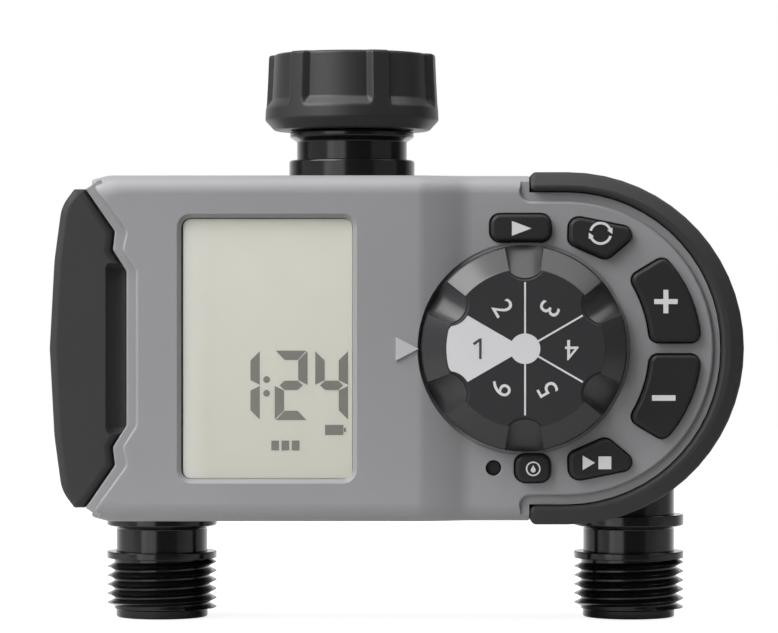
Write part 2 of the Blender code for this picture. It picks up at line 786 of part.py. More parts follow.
def control_cutter(name, gap):
    """What lies in front of the control panel, with the slope up to the display face."""
    bm = bmesh.new()
    far_x = END_X + 2 * BUMPER_R
    far_y = FACE_Y - BODY_HEIGHT
    over = BODY_HEIGHT
    lift = (SLOPE_START_X - SLOPE_END_X) / PANEL_STEP * over
    profile = [
        (SLOPE_START_X + lift, FACE_Y + gap - over),
        (SLOPE_END_X, PANEL_Y + gap),
        (far_x, PANEL_Y + gap),
        (far_x, far_y),
    ]
    rings = [[bm.verts.new((x, y, MID_Z + side * over)) for x, y in profile] for side in (-1, 1)]
    bridge(bm, *rings)
    bm.faces.new(rings[0])
    bm.faces.new(rings[1])
    return new_object(name, bm, None)


def ledge_cutter():
    """The lower ledge between the raised control panel and the bumper."""
    outer_r = 2 * BUMPER_R
    upper = [
        (END_X + outer_r, MID_Z + outer_r, outer_r),
        (PLATEAU_X, MID_Z + outer_r, 0.0),
        (PLATEAU_X, MID_Z + PLATEAU_R, PLATEAU_CORNER),
        (END_X + PLATEAU_R, MID_Z + PLATEAU_R, PLATEAU_R),
    ]
    corners = upper + mirrored(upper)
    return stack("ledge_cutter", [(corners, FACE_Y - WALL), (corners, PANEL_Y + LEDGE_DEPTH)], None)


def cut_water_holes(shell):
    """Round openings for the inlet and both outlets, shared by the two halves of the housing."""
    radius = SPIGOT_SHANK_R + FIT
    top = rod(shell.name + "_inlet", "Z", (0, 0), radius, TOP_Z - 2 * WALL, TOP_Z + WALL, columns=FINE)
    cut(shell, top)
    for side, x in OUTLET_XS.items():
        low = BOTTOM_Z - WALL
        hole = rod(f"{shell.name}_{side}", "Z", (x, 0), TUBE_R + FIT, low, CHAMBER_BOTTOM_Z, columns=FINE)
        cut(shell, hole)


def front_housing():
    shell = stack("front_housing", crowned(FACE_Y, SHELF_Y + WALL, FACE_FILLET, 0.0), GREY)
    join(shell, stack("front_skirt", [(back_outline(), SHELF_Y), (back_outline(), -FIT / 2)], None))
    lip = [(lip_outline(), FACE_Y + LIP_SINK), (lip_outline(), SHELF_Y + WALL / 2)]
    join(shell, stack("door_lip", lip, None))
    cut(shell, control_cutter("panel_cutter", 0.0))
    cut(shell, ledge_cutter())
    front_room = stack("front_room", crowned(FACE_Y + WALL, WALL, FACE_FILLET - WALL, -WALL, 2), None)
    cut(front_room, control_cutter("room_cutter", WALL))
    dial = (DIAL_X, MID_Z)
    well_r = DIAL_R + WELL_CLEAR
    well_back = PANEL_Y + WALL
    cut(front_room, rod("well_wall", "Y", dial, well_r + WALL, FACE_Y, well_back, columns=2 * FINE))
    cut(shell, front_room)
    skirt = grown(back_outline(), -WALL)
    cut(shell, stack("skirt_room", [(skirt, SHELF_Y + WALL), (skirt, WALL)], None))
    for i, (x, z) in enumerate(screw_places()):
        join(shell, rod(f"boss_{i}", "Y", (x, z), BOSS_R, SHELF_Y + WALL / 2, -FIT))
    for i, (x, z) in enumerate(screw_places()):
        cut(shell, rod(f"boss_hole_{i}", "Y", (x, z), SCREW_R + FIT, -SCREW_LENGTH, WALL))
    for i, (x, z) in enumerate(board_screw_places()):
        join(shell, rod(f"board_boss_{i}", "Y", (x, z), BOSS_R, FACE_Y + WALL / 2, BOARD_Y - FIT))
        cut(shell, rod(f"board_hole_{i}", "Y", (x, z), SCREW_R + FIT, FACE_Y + WALL, BOARD_Y))
    window = window_outline()
    flare = grown(window, WINDOW_BEVEL + WALL)
    layers = [(flare, FACE_Y - WALL), (window, FACE_Y + WINDOW_BEVEL), (window, FACE_Y + 2 * WALL)]
    cut(shell, stack("window_cutter", layers, None))
    for name, corners in key_outlines().items():
        hole = grown(corners, SLIDE)
        cut(shell, stack(name + "_hole", [(hole, PANEL_Y - WALL), (hole, PANEL_Y + 2 * WALL)], None))
    reset = (RESET_X, MID_Z + RAIN_RISE)
    cut(shell, rod("reset_hole", "Y", reset, RESET_HOLE_R, PANEL_Y - WALL, PANEL_Y + 2 * WALL))
    well_y = PANEL_Y + WELL_SINK
    cut(shell, rod("dial_well", "Y", dial, well_r, FACE_Y - WALL, well_y, columns=2 * FINE))
    cut(shell, rod("shaft_hole", "Y", dial, SHAFT_R + SLIDE, PANEL_Y - WALL, PANEL_Y + 2 * WALL))
    low, high = tray_box()
    slot_low = (DOOR_TIP_X, low[1] - SLIDE, low[2] - SLIDE)
    slot_high = (DOOR_INNER_X + FIT + LIP_WIDTH + 2 * WALL, high[1] + SLIDE, high[2] + SLIDE)
    cut(shell, box("drawer_slot", slot_low, slot_high))
    cut_water_holes(shell)


def rear_housing():
    shell = stack("rear_housing", filleted(back_outline(), REAR_Y, FIT / 2, REAR_FILLET), GREY)
    inner = grown(back_outline(), -WALL)
    rooms = filleted(inner, REAR_Y - WALL, -WALL, REAR_FILLET - WALL, 2)
    cut(shell, stack("rear_room", rooms, None))
    for i, (x, z) in enumerate(screw_places()):
        join(shell, rod(f"post_{i}", "Y", (x, z), BOSS_R, FIT, REAR_Y - WALL / 2))
    for i, (x, z) in enumerate(screw_places()):
        cut(shell, rod(f"post_hole_{i}", "Y", (x, z), SCREW_R + FIT, -WALL, POST_FLOOR + WALL))
        cut(shell, rod(f"post_bore_{i}", "Y", (x, z), SCREW_HEAD_R + FIT, POST_FLOOR, REAR_Y + WALL))
    cut_water_holes(shell)


def side_bumper():
    inner_r = BUMPER_R - BUMPER_THICK
    upper = [(END_X + BUMPER_R, MID_Z + BUMPER_R, BUMPER_R), (BUMPER_X, MID_Z + BUMPER_R, BUMPER_EDGE)]
    lower = [(BUMPER_X, MID_Z + inner_r, 0.0), (END_X + inner_r, MID_Z + inner_r, inner_r)]
    corners = upper + lower + mirrored(lower) + mirrored(upper)
    stack("side_bumper", filleted(corners, PANEL_Y - BUMPER_PROUD, SHELF_Y - FIT, BUMPER_EDGE, 2), SOFT)


# The battery drawer

def battery_drawer():
    upper = [
        (DOOR_CROWN_X, MID_Z + DOOR_CROWN, DOOR_CROWN_R),
        (DOOR_BOW_X + DOOR_BOW, MID_Z + DOOR_SHOULDER, DOOR_SHOULDER_R),
        (DOOR_BOW_X + DOOR_BOW / 4, MID_Z + DOOR_SHOULDER / 2, 0.0),
    ]
    middle = [(DOOR_BOW_X, MID_Z, 0.0)]
    corners = door_side() + upper + middle + mirrored(upper) + mirrored(door_side())
    door = stack("battery_door", filleted(corners, DOOR_Y, SHELF_Y - FIT, DOOR_EDGE), SOFT)
    low, high = tray_box()
    pocket_x = DOOR_BOW_X + DOOR_BOW + DOOR_SKIN
    for side in (1, -1):
        near, far = MID_Z + side * DOOR_WEB, MID_Z + side * (DOOR_SHOULDER - DOOR_SKIN)
        pocket_low = (pocket_x, DOOR_Y + DOOR_SKIN + GRIP_DEPTH, min(near, far))
        pocket_high = (DOOR_INNER_X + WALL, SHELF_Y - FIT - DOOR_SKIN, max(near, far))
        cut(door, box(f"door_pocket_{side}", pocket_low, pocket_high))
    grip_low = (GRIP_X, DOOR_Y - WALL, MID_Z - GRIP_HALF)
    grip_high = (DOOR_INNER_X + WALL, DOOR_Y + GRIP_DEPTH, MID_Z + GRIP_HALF)
    cut(door, box("door_grip", grip_low, grip_high))

    tray = box("battery_tray", low, high, BLACK)
    bay_low = (low[0] + TRAY_WALL, low[1] - WALL, MID_Z - BAY_HALF)
    bay_high = (high[0] - TRAY_WALL, high[1] - TRAY_WALL, MID_Z + BAY_HALF)
    cut(tray, box("tray_bay", bay_low, bay_high))
    pieces = [door, tray] + battery_cells(bay_low, bay_high)
    carried_by("drawer_slide", (DOOR_INNER_X, CELL_Y, MID_Z), *pieces)


def battery_cells(bay_low, bay_high):
    floor = bay_low[2] + FIT / 2
    roof = bay_high[2] - FIT / 2
    strap_top = floor + CONTACT_THICK
    jacket = CELL_LENGTH - CELL_NUB
    upright = roof - CONTACT_THICK - FIT / 2 - CELL_LENGTH
    made = []
    starts = ((upright, 1), (strap_top + FIT / 2 + CELL_LENGTH, -1))
    for i, (start, way) in enumerate(starts):
        profile = [
            (CELL_R, start),
            (CELL_R, start + way * jacket),
            (CELL_NUB_R, start + way * jacket),
            (CELL_NUB_R, start + way * CELL_LENGTH),
        ]
        made.append(turned(f"battery_{i + 1}", profile, CELL, centre=(CELL_XS[i], CELL_Y)))
    half_y = CELL_R / 2
    strap_low = (CELL_XS[0] - CELL_R, CELL_Y - half_y, floor)
    strap_high = (CELL_XS[1] + CELL_R, CELL_Y + half_y, strap_top)
    made.append(box("contact_strap", strap_low, strap_high, STEEL))
    plate_low = (CELL_XS[0] - CELL_R, CELL_Y - half_y, roof - CONTACT_THICK)
    plate_high = (CELL_XS[0] + CELL_R, CELL_Y + half_y, roof)
    made.append(box("contact_plate", plate_low, plate_high, STEEL))
    wide, narrow = CONTACT_WIDE_R, CONTACT_NARROW_R
    margin = CONTACT_WIRE_R + FIT / 2
    lower = helix(CELL_XS[0], CELL_Y, strap_top + margin, upright - margin, wide, narrow, 2)
    made.append(wire("contact_spring_lower", lower, CONTACT_WIRE_R, STEEL))
    top_of_second = strap_top + FIT / 2 + CELL_LENGTH
    upper = helix(CELL_XS[1], CELL_Y, top_of_second + margin, roof - margin, narrow, wide, 2)
    made.append(wire("contact_spring_upper", upper, CONTACT_WIRE_R, STEEL))
    return made


# Display and electronics

def display():
    window = window_outline()
    boss = grown(window, -FIT)
    flange = grown(window, WINDOW_FLANGE)
    flange_y = FACE_Y + WALL + FIT
    sunk = FACE_Y + WINDOW_BEVEL + LENS_SINK
    layers = [(boss, sunk), (boss, flange_y), (flange, flange_y), (flange, LENS_BACK_Y)]
    stack("display_window", layers, LENS)
    lcd = rectangle(WINDOW_X, MID_Z, WINDOW_WIDTH + 2 * LCD_MARGIN, WINDOW_HEIGHT + 2 * LCD_MARGIN)
    stack("lcd_panel", [(lcd, LENS_BACK_Y + FIT), (lcd, LCD_BACK_Y)], LCD)
    inside = grown(lcd, FIT)
    outside = grown(inside, FRAME_WALL)
    front, back = LENS_BACK_Y + FIT, BOARD_Y - FIT
    stack("lcd_frame", [(inside, front), (outside, front), (outside, back), (inside, back)], WHITE, True)
    reach = WINDOW_HEIGHT / 2 - STRIP_WIDTH
    for name, side in (("connector_strip_top", 1), ("connector_strip_bottom", -1)):
        strip = rectangle(WINDOW_X, MID_Z + side * reach, WINDOW_WIDTH, STRIP_WIDTH)
        stack(name, [(strip, LCD_BACK_Y + FIT), (strip, back)], RUBBER)


def board_outline(left, inset):
    end_r = BUMPER_R - BUMPER_THICK - FIT - WALL - inset
    upper = [(END_X + end_r, MID_Z + end_r, end_r), (left, MID_Z + end_r, 0.0)]
    return upper + mirrored(upper)


def electronics():
    dial = (DIAL_X, MID_Z)
    board = board_outline(BOARD_LEFT_X, BOARD_MARGIN)
    plate = stack("circuit_board", [(board, BOARD_Y), (board, BOARD_BACK_Y)], BOARD)
    hole_front, hole_back = BOARD_Y - WALL, BOARD_BACK_Y + WALL
    cut(plate, rod("board_shaft_hole", "Y", dial, SHAFT_R + SLIDE, hole_front, hole_back))
    for i, place in enumerate(board_screw_places()):
        cut(plate, rod(f"board_screw_hole_{i}", "Y", place, SCREW_R + FIT, hole_front, hole_back))
        head = BOARD_BACK_Y + FIT / 2
        screw(f"board_screw_{i + 1}", place, head, head - BOARD_THICK - WALL)
    sheet = board_outline(MEMBRANE_LEFT_X, BOARD_MARGIN)
    membrane = stack("keypad_membrane", [(sheet, MEMBRANE_Y), (sheet, MEMBRANE_Y + MEMBRANE_THICK)], RUBBER)
    hole_front, hole_back = MEMBRANE_Y - WALL, MEMBRANE_Y + WALL
    cut(membrane, rod("membrane_hole", "Y", dial, MEMBRANE_HOLE_R, hole_front, hole_back))
    chip = rectangle(CHIP_X, MID_Z, CHIP_SIDE, CHIP_SIDE)
    chip_y = BOARD_BACK_Y + FIT
    stack("controller_chip", [(chip, chip_y), (chip, chip_y + CHIP_THICK)], BLACK)
    switch = [
        (SHAFT_R + SLIDE, chip_y),
        (SWITCH_R, chip_y),
        (SWITCH_R, chip_y + SWITCH_DEPTH),
        (SHAFT_R + SLIDE, chip_y + SWITCH_DEPTH),
    ]
    turned("rotary_switch", switch, WHITE, "Y", dial, loop=True)


def screw(name, place, head_y, tip_y):
    """A screw along Y whose head bears at head_y and whose shank runs to tip_y."""
    profile = [
        (SCREW_CROWN_R, head_y + SCREW_HEAD),
        (SCREW_HEAD_R, head_y + SCREW_HEAD / 2),
        (SCREW_HEAD_R, head_y),
        (SCREW_R, head_y),
        (SCREW_R, tip_y + SCREW_R),
        (0, tip_y),
    ]
    turned(name, profile, STEEL, "Y", place, even_angles(8))


def keys():
    for name, corners in key_outlines().items():
        flange = grown(corners, KEY_FLANGE)
        front = PANEL_Y - KEY_PROUD
        layers = filleted(corners, front, KEY_FLANGE_Y, KEY_EDGE, 1)
        layers += [(flange, KEY_FLANGE_Y), (flange, KEY_BACK_Y)]
        key = stack(name, layers, KEY)
        middle = sum((Vector(corner[:2]) for corner in corners), Vector((0, 0))) / len(corners)
        carried_by(name + "_slide", (middle.x, KEY_BACK_Y, middle.y), key)
    place = (RESET_X, MID_Z + RAIN_RISE)
    pin_r = RESET_HOLE_R - FIT
    profile = [
        (pin_r, PANEL_Y + RESET_SINK),
        (pin_r, KEY_FLANGE_Y),
        (pin_r + KEY_FLANGE, KEY_FLANGE_Y),
        (pin_r + KEY_FLANGE, KEY_BACK_Y),
    ]
    pin = turned("reset_button", profile, KEY, "Y", place)
    carried_by("reset_slide", (place[0], KEY_BACK_Y, place[1]), pin)


# The dial

def scallops(name, margin):
    """Six bullet-shaped cutters that point at the dial's centre, in one helper object."""
    bm = bmesh.new()
    radius = SCALLOP_R + margin
    axis_y = DIAL_TOP_Y + SCALLOP_SINK
    nose = SCALLOP_INNER - margin + radius
    profile = [(0.0, nose - radius)]
    for k in range(1, 4):
        angle = math.pi / 2 * k / 3
        profile.append((radius * math.sin(angle), nose - radius * math.cos(angle)))
    profile.append((radius, 2 * DIAL_R))
    profile.append((0.0, 2 * DIAL_R))
    for i in range(SCALLOPS):
        way = math.radians(30) + 2 * math.pi * i / SCALLOPS
        out = Vector((math.cos(way), 0, math.sin(way)))
        across = Vector((-out.z, 0, out.x))
        rows = []
        for r, along in profile:
            ring = even_angles(COARSE) if r else [0.0]
            centre = Vector((DIAL_X, axis_y, MID_Z)) + out * along
            rows.append([
                bm.verts.new(centre + across * r * math.cos(a) + Vector((0, r * math.sin(a), 0))) for a in ring
            ])
        for first, second in zip(rows, rows[1:]):
            bridge(bm, first, second)
    return new_object(name, bm, None)


def dial():
    place = (DIAL_X, MID_Z)
    body_top = DIAL_TOP_Y + DIAL_FACE_THICK + FIT / 2
    inside = DIAL_BASE_Y - DIAL_HOLLOW
    bore_end = body_top + 2 * DIAL_SKIN
    profile = [
        (DIAL_FACE_R, body_top),
        (DIAL_R, DIAL_BASE_Y - DIAL_RIM),
        (DIAL_R, DIAL_BASE_Y),
        (DIAL_R - DIAL_SKIN, DIAL_BASE_Y),
        (DIAL_R - DIAL_SKIN, inside),
        (HUB_R, inside),
        (HUB_R, DIAL_BASE_Y),
        (SHAFT_R + FIT / 2, DIAL_BASE_Y),
        (SHAFT_R + FIT / 2, bore_end),
    ]
    knob = turned("selector_dial", profile, BLACK, "Y", place, even_angles(2 * FINE))
    cut(knob, scallops("scallop_cutter", 0.0))
    disc = [
        (DIAL_FACE_R, DIAL_TOP_Y),
        (DIAL_FACE_R, DIAL_TOP_Y + DIAL_FACE_THICK),
    ]
    face = turned("dial_face", disc, PRINT, "Y", place, even_angles(2 * FINE))
    cut(face, scallops("face_cutter", FIT / 2))
    switch_end = BOARD_BACK_Y + FIT + SWITCH_DEPTH
    shaft = rod("dial_shaft", "Y", place, SHAFT_R, bore_end + FIT, switch_end - FIT, WHITE)
    clip_y = PANEL_Y + WALL + FIT
    ring = [
        (SHAFT_R + FIT / 2, clip_y),
        (CLIP_R, clip_y),
        (CLIP_R, clip_y + CLIP_THICK),
        (SHAFT_R + FIT / 2, clip_y + CLIP_THICK),
    ]
    clip = turned("dial_clip", ring, STEEL, "Y", place, loop=True)
    carried_by("dial_turn", (DIAL_X, DIAL_BASE_Y, MID_Z), knob, face, shaft, clip)


# The inlet

def swivel_nut():
    """The hose nut: flush ribs between recessed grips outside, hose thread inside."""
    angles, dips = [], []
    pitch = 2 * math.pi / NUT_RIBS
    side = NUT_RIB_HALF + NUT_RIB_SIDE
    for i in range(NUT_RIBS):
        rib = NUT_RIB_TURN - math.pi / 2 + i * pitch
        for turn, dip in (
            (-NUT_RIB_HALF, 0.0),
            (NUT_RIB_HALF, 0.0),
            (side, 1.0),
            (pitch / 3, 1.0),
            (pitch / 2, 1.0),
            (pitch * 2 / 3, 1.0),
            (pitch - side, 1.0),
        ):
            angles.append(rib + turn)
            dips.append(dip)
    first = angles[0]
    angles = [angle - first for angle in angles]
    low = -NUT_HEIGHT
    wide = NUT_R + NUT_FLARE
    web_top = low + NUT_WEB
    hole_r = STEM_R + SLIDE
    start = web_top + HEAD_THICK + 2 * FIT
    finish = start + thread_length(NUT_THREAD_TURNS)
    profile = [
        (NUT_THREAD_R, -FIT),
        (NUT_THREAD_R + FIT, 0.0),
        (NUT_R - NUT_EDGE, 0.0, NUT_RECESS),
        (NUT_R, -NUT_EDGE, NUT_RECESS),
        (NUT_R, NUT_LEDGE_Z + NUT_RECESS, NUT_RECESS),
        (NUT_R + NUT_FLARE / 2, NUT_LEDGE_Z),
        (wide, low + NUT_CHAMFER),
        (wide - NUT_CHAMFER, low),
        (hole_r, low),
        (hole_r, web_top),
        (NUT_THREAD_R, web_top),
        (NUT_THREAD_R, start - FIT),
        thread(start, NUT_THREAD_TURNS, NUT_THREAD_R, NUT_MINOR_R, 1),
        (NUT_THREAD_R, finish + FIT),
    ]
    nut = turned("swivel_nut", profile, BLACK, angles=angles, loop=True, dips=dips)
    turn_back = bpy.data.objects.new("nut_turn", None)
    bpy.context.scene.collection.objects.link(turn_back)
    nut.parent = turn_back
    turn_back.rotation_euler.z = first


def inlet():
    head_z = -NUT_HEIGHT + NUT_WEB + FIT
    head_top = head_z + HEAD_THICK
    flange_z = -NUT_HEIGHT - FIT
    flange_low = flange_z - INLET_FLANGE
    neck_low = flange_low - INLET_NECK
    collar_low = TOP_Z + FIT
    shank_low = TOP_Z - WALL - 2 * FIT
    spigot_low = shank_low - SPIGOT_LENGTH
    bore = SPIGOT_R - SPIGOT_WALL
    ring_z = shank_low - SPIGOT_LENGTH / 2
    groove = SPIGOT_R - RING_WIRE_R
    edge = FIT
    profile = [
        (INLET_BORE_R, head_top),
        (HEAD_R, head_top),
        (HEAD_R, head_z),
        (STEM_R, head_z),
        (STEM_R, flange_z),
        (INLET_FLANGE_R - edge, flange_z),
        (INLET_FLANGE_R, flange_z - edge),
        (INLET_FLANGE_R, flange_z - INLET_FLANGE / 2),
        (INLET_NECK_R, flange_low),
        (INLET_NECK_R, neck_low),
        (INLET_COLLAR_R - edge, neck_low),
        (INLET_COLLAR_R, neck_low - edge),
        (INLET_COLLAR_R, collar_low),
        (SPIGOT_SHANK_R, collar_low),
        (SPIGOT_SHANK_R, shank_low),
        (SPIGOT_R, shank_low),
        (SPIGOT_R, ring_z + RING_WIRE_R + FIT),
        (groove, ring_z + RING_WIRE_R + FIT),
        (groove, ring_z - RING_WIRE_R - FIT),
        (SPIGOT_R, ring_z - RING_WIRE_R - FIT),
        (SPIGOT_R, spigot_low),
        (bore, spigot_low),
        (bore, neck_low),
        (INLET_BORE_R, neck_low),
    ]
    turned("inlet_tailpiece", profile, BLACK, angles=even_angles(FINE), loop=True)
    socket_r = SPIGOT_R + RING_WIRE_R
    flat_r = RING_WIRE_R * RING_SQUEEZE
    centre_r = groove + FIT / 2 + flat_r
    section = [(centre_r + flat_r * math.cos(a), ring_z + RING_WIRE_R * math.sin(a)) for a in even_angles(6)]
    turned("tailpiece_o_ring", section, RUBBER, angles=even_angles(FINE), loop=True)

    washer_z = head_top + FIT
    washer_top = washer_z + WASHER_THICK
    washer_r = min(HEAD_R, NUT_MINOR_R - FIT)
    washer = [
        (INLET_BORE_R, washer_z),
        (washer_r, washer_z),
        (washer_r, washer_top),
        (INLET_BORE_R, washer_top),
    ]
    turned("inlet_washer", washer, RUBBER, angles=even_angles(FINE), loop=True)
    rim = washer_top + FIT
    rim_top = rim + FILTER_WALL
    tip = rim - FILTER_DEPTH
    cup = [
        (FILTER_TIP_R, tip),
        (FILTER_R, rim - FILTER_R / 2),
        (FILTER_R, rim),
        (FILTER_FLANGE_R, rim),
        (FILTER_FLANGE_R, rim_top),
        (FILTER_R - FILTER_WALL, rim_top),
        (FILTER_R - FILTER_WALL, rim - FILTER_R / 2),
        (FILTER_TIP_R - FILTER_WALL, tip + FILTER_WALL),
    ]
    turned("filter_screen", cup, STEEL, angles=even_angles(FINE))
    manifold(shank_low - FIT, spigot_low - FIT, socket_r + FIT)


def manifold(top, seat, socket_bore):
    """The pipe that takes water down from the inlet and across to both valves."""
    socket_r = socket_bore + SOCKET_WALL
    left_x = OUTLET_XS["left"] + VALVE_R
    right_x = OUTLET_XS["right"] - VALVE_R
    spigot = VALVE_WALL - FIT
    down = [
        (socket_r, top),
        (socket_r, seat - SOCKET_WALL),
        (DOWNPIPE_R, seat - SOCKET_WALL - (socket_r - DOWNPIPE_R)),
        (DOWNPIPE_R, CROSS_Z),
    ]
    pipe = turned("inlet_manifold", down, BLACK, angles=even_angles(FINE))
    across = [
        (PORT_R, left_x - spigot),
        (PORT_R, left_x + FIT),
        (CROSS_R, left_x + FIT),
        (CROSS_R, right_x - FIT),
        (PORT_R, right_x - FIT),
        (PORT_R, right_x + spigot),
    ]
    join(pipe, turned("cross_pipe", across, None, "X", (0, CROSS_Z)))
    inside = [
        (socket_bore, top + WALL),
        (socket_bore, seat),
        (DOWNPIPE_R - SOCKET_WALL, seat),
        (DOWNPIPE_R - SOCKET_WALL, CROSS_Z + CROSS_BORE_R / 2),
    ]
    cut(pipe, turned("down_bore", inside, None, angles=even_angles(FINE)))
    cut(pipe, rod("cross_bore", "X", (0, CROSS_Z), CROSS_BORE_R, left_x - WALL, right_x + WALL))


# The outlets and their valves

def valve_body(side, x):
    inner_r = VALVE_R - VALVE_WALL
    floor = CHAMBER_BOTTOM_Z + VALVE_FLOOR
    flange_top = BOTTOM_Z - FIT
    flange_low = flange_top - OUTLET_FLANGE
    collar_top = flange_low - OUTLET_NECK
    collar_low = collar_top - OUTLET_COLLAR
    start = collar_low - FIT
    finish = start - thread_length(OUTLET_TURNS)
    tip = finish - FIT - OUTLET_TIP
    edge = FIT
    profile = [
        (VALVE_R, CHAMBER_TOP_Z),
        (VALVE_R, CHAMBER_BOTTOM_Z),
        (TUBE_R, CHAMBER_BOTTOM_Z - (VALVE_R - TUBE_R)),
        (TUBE_R, flange_top),
        (OUTLET_R, flange_top),
        (OUTLET_R, flange_low),
        (TUBE_R, flange_low - OUTLET_CONE),
        (TUBE_R, collar_top),
        (OUTLET_R - edge, collar_top),
        (OUTLET_R, collar_top - edge),
        (OUTLET_R, collar_low),
        (OUTLET_ROOT_R, collar_low),
        thread(start, OUTLET_TURNS, OUTLET_ROOT_R, OUTLET_R, -1),
        (OUTLET_ROOT_R, finish - FIT),
        (OUTLET_TIP_R, finish - 2 * FIT),
        (OUTLET_TIP_R, tip + edge),
        (OUTLET_TIP_R - edge, tip),
        (OUTLET_BORE_R, tip),
        (OUTLET_BORE_R, floor - VALVE_FLOOR),
        (SEAT_BORE_R, floor),
        (SEAT_BORE_R, SEAT_Z),
        (SEAT_R, SEAT_Z),
        (SEAT_R, floor),
        (inner_r, floor),
        (inner_r, CHAMBER_TOP_Z),
    ]
    clockwise = [-angle for angle in even_angles(FINE)]      # a thread that runs down is right-handed so
    body = turned(f"valve_body_{side}", profile, BLACK, "Z", (x, 0), clockwise, loop=True)
    inwards = math.copysign(1, -x)
    near, far = x + inwards * (VALVE_R - 2 * VALVE_WALL), x + inwards * (VALVE_R + VALVE_WALL)
    cut(body, rod(f"port_{side}", "X", (0, CROSS_Z), PORT_R + FIT, min(near, far), max(near, far)))


def valve_inside(side, x):
    rim = CHAMBER_TOP_Z + FIT
    drop = SEAT_Z + FIT
    plate_r = SEAT_R + FIT
    diaphragm = [
        (PILOT_R, drop),
        (plate_r, drop),
        (plate_r, rim),
        (VALVE_R, rim),
        (VALVE_R, rim + DIAPHRAGM_THICK),
        (SEAT_R - FIT, rim + DIAPHRAGM_THICK),
        (SEAT_R - FIT, drop + DIAPHRAGM_THICK),
        (PILOT_R, drop + DIAPHRAGM_THICK),
    ]
    turned(f"diaphragm_{side}", diaphragm, RUBBER, centre=(x, 0), loop=True)
    boss = PLUNGER_R - FIT
    bonnet = [
        (PILOT_R, BONNET_Z + BONNET_THICK / 2),
        (SEAT_R, BONNET_Z + BONNET_THICK / 2),
        (SEAT_R, BONNET_Z),
        (VALVE_R, BONNET_Z),
        (VALVE_R, BONNET_TOP_Z),
        (PILOT_R, BONNET_TOP_Z),
    ]
    turned(f"valve_bonnet_{side}", bonnet, BLACK, centre=(x, 0), loop=True)
    bore_r = PLUNGER_R + SLIDE
    bore_top = COIL_TOP_Z - CORE_HEIGHT
    wound = COIL_R - COIL_WINDING
    coil = [
        (COIL_R, COIL_TOP_Z),
        (COIL_R, COIL_TOP_Z - COIL_FLANGE),
        (wound, COIL_TOP_Z - COIL_FLANGE),
        (wound, COIL_Z + COIL_FLANGE),
        (COIL_R, COIL_Z + COIL_FLANGE),
        (COIL_R, COIL_Z),
        (bore_r, COIL_Z),
        (bore_r, bore_top),
    ]
    turned(f"solenoid_coil_{side}", coil, COPPER, centre=(x, 0))
    foot = BONNET_TOP_Z + FIT / 2
    head = foot + PLUNGER_LENGTH
    plunger = [(boss / 2, foot), (PLUNGER_R, foot + boss / 2), (PLUNGER_R, head)]
    pin = turned(f"plunger_{side}", plunger, STEEL, centre=(x, 0))
    carried_by(f"plunger_slide_{side}", (x, 0, foot), pin)
    margin = PLUNGER_WIRE_R + FIT / 2
    spring_r = PLUNGER_R - 2 * PLUNGER_WIRE_R
    coils = helix(x, 0, head + margin, bore_top - margin, spring_r, spring_r, 4)
    wire(f"plunger_spring_{side}", coils, PLUNGER_WIRE_R, STEEL, 0)


def solenoid_lead(side, x):
    """The lead from a coil up and forward to the back of the board, on the left over the battery tray."""
    inwards = math.copysign(1, -x)
    board_x = x + inwards * 12 * LEAD_R
    over_tray = tray_box()[1][2] + SLIDE + 2 * LEAD_R
    over_coil = COIL_TOP_Z + FIT + 7 * LEAD_R
    rise = over_tray if side == "left" else over_coil
    points = [
        (x, 0, COIL_TOP_Z + FIT + 2 * LEAD_R),
        ((x + board_x) / 2, -3 * LEAD_R, (COIL_TOP_Z + rise) / 2),
        (board_x, -6 * LEAD_R, rise),
        (board_x, CELL_Y, rise),
        (board_x, BOARD_BACK_Y + 2 * LEAD_R, rise),
    ]
    root = (x, 0, COIL_TOP_Z + FIT)
    tip = (board_x, BOARD_BACK_Y + FIT, rise)
    wire(f"solenoid_lead_{side}", [root] + smooth_route(points) + [tip], LEAD_R, INSULATION)


def housing_screws():
    for i, place in enumerate(screw_places()):
        screw(f"housing_screw_{i + 1}", place, POST_FLOOR + FIT / 2, FIT - SCREW_LENGTH)


front_housing()
rear_housing()
side_bumper()
battery_drawer()
display()
electronics()
keys()
dial()
swivel_nut()
inlet()
for outlet_side, outlet_x in OUTLET_XS.items():
    valve_body(outlet_side, outlet_x)
    valve_inside(outlet_side, outlet_x)
    solenoid_lead(outlet_side, outlet_x)
housing_screws()
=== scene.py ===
# %% [markdown]
# # A two-outlet water timer for a garden tap
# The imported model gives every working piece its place. This lesson dresses it: the pieces that show
# are rebuilt with finer edges, and everything gets a finish made of shader nodes.
# All lengths are in metres, Z is up and the front of the timer faces -Y.

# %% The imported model
import json
import math

import bmesh
import bpy
from mathutils import Matrix, Vector

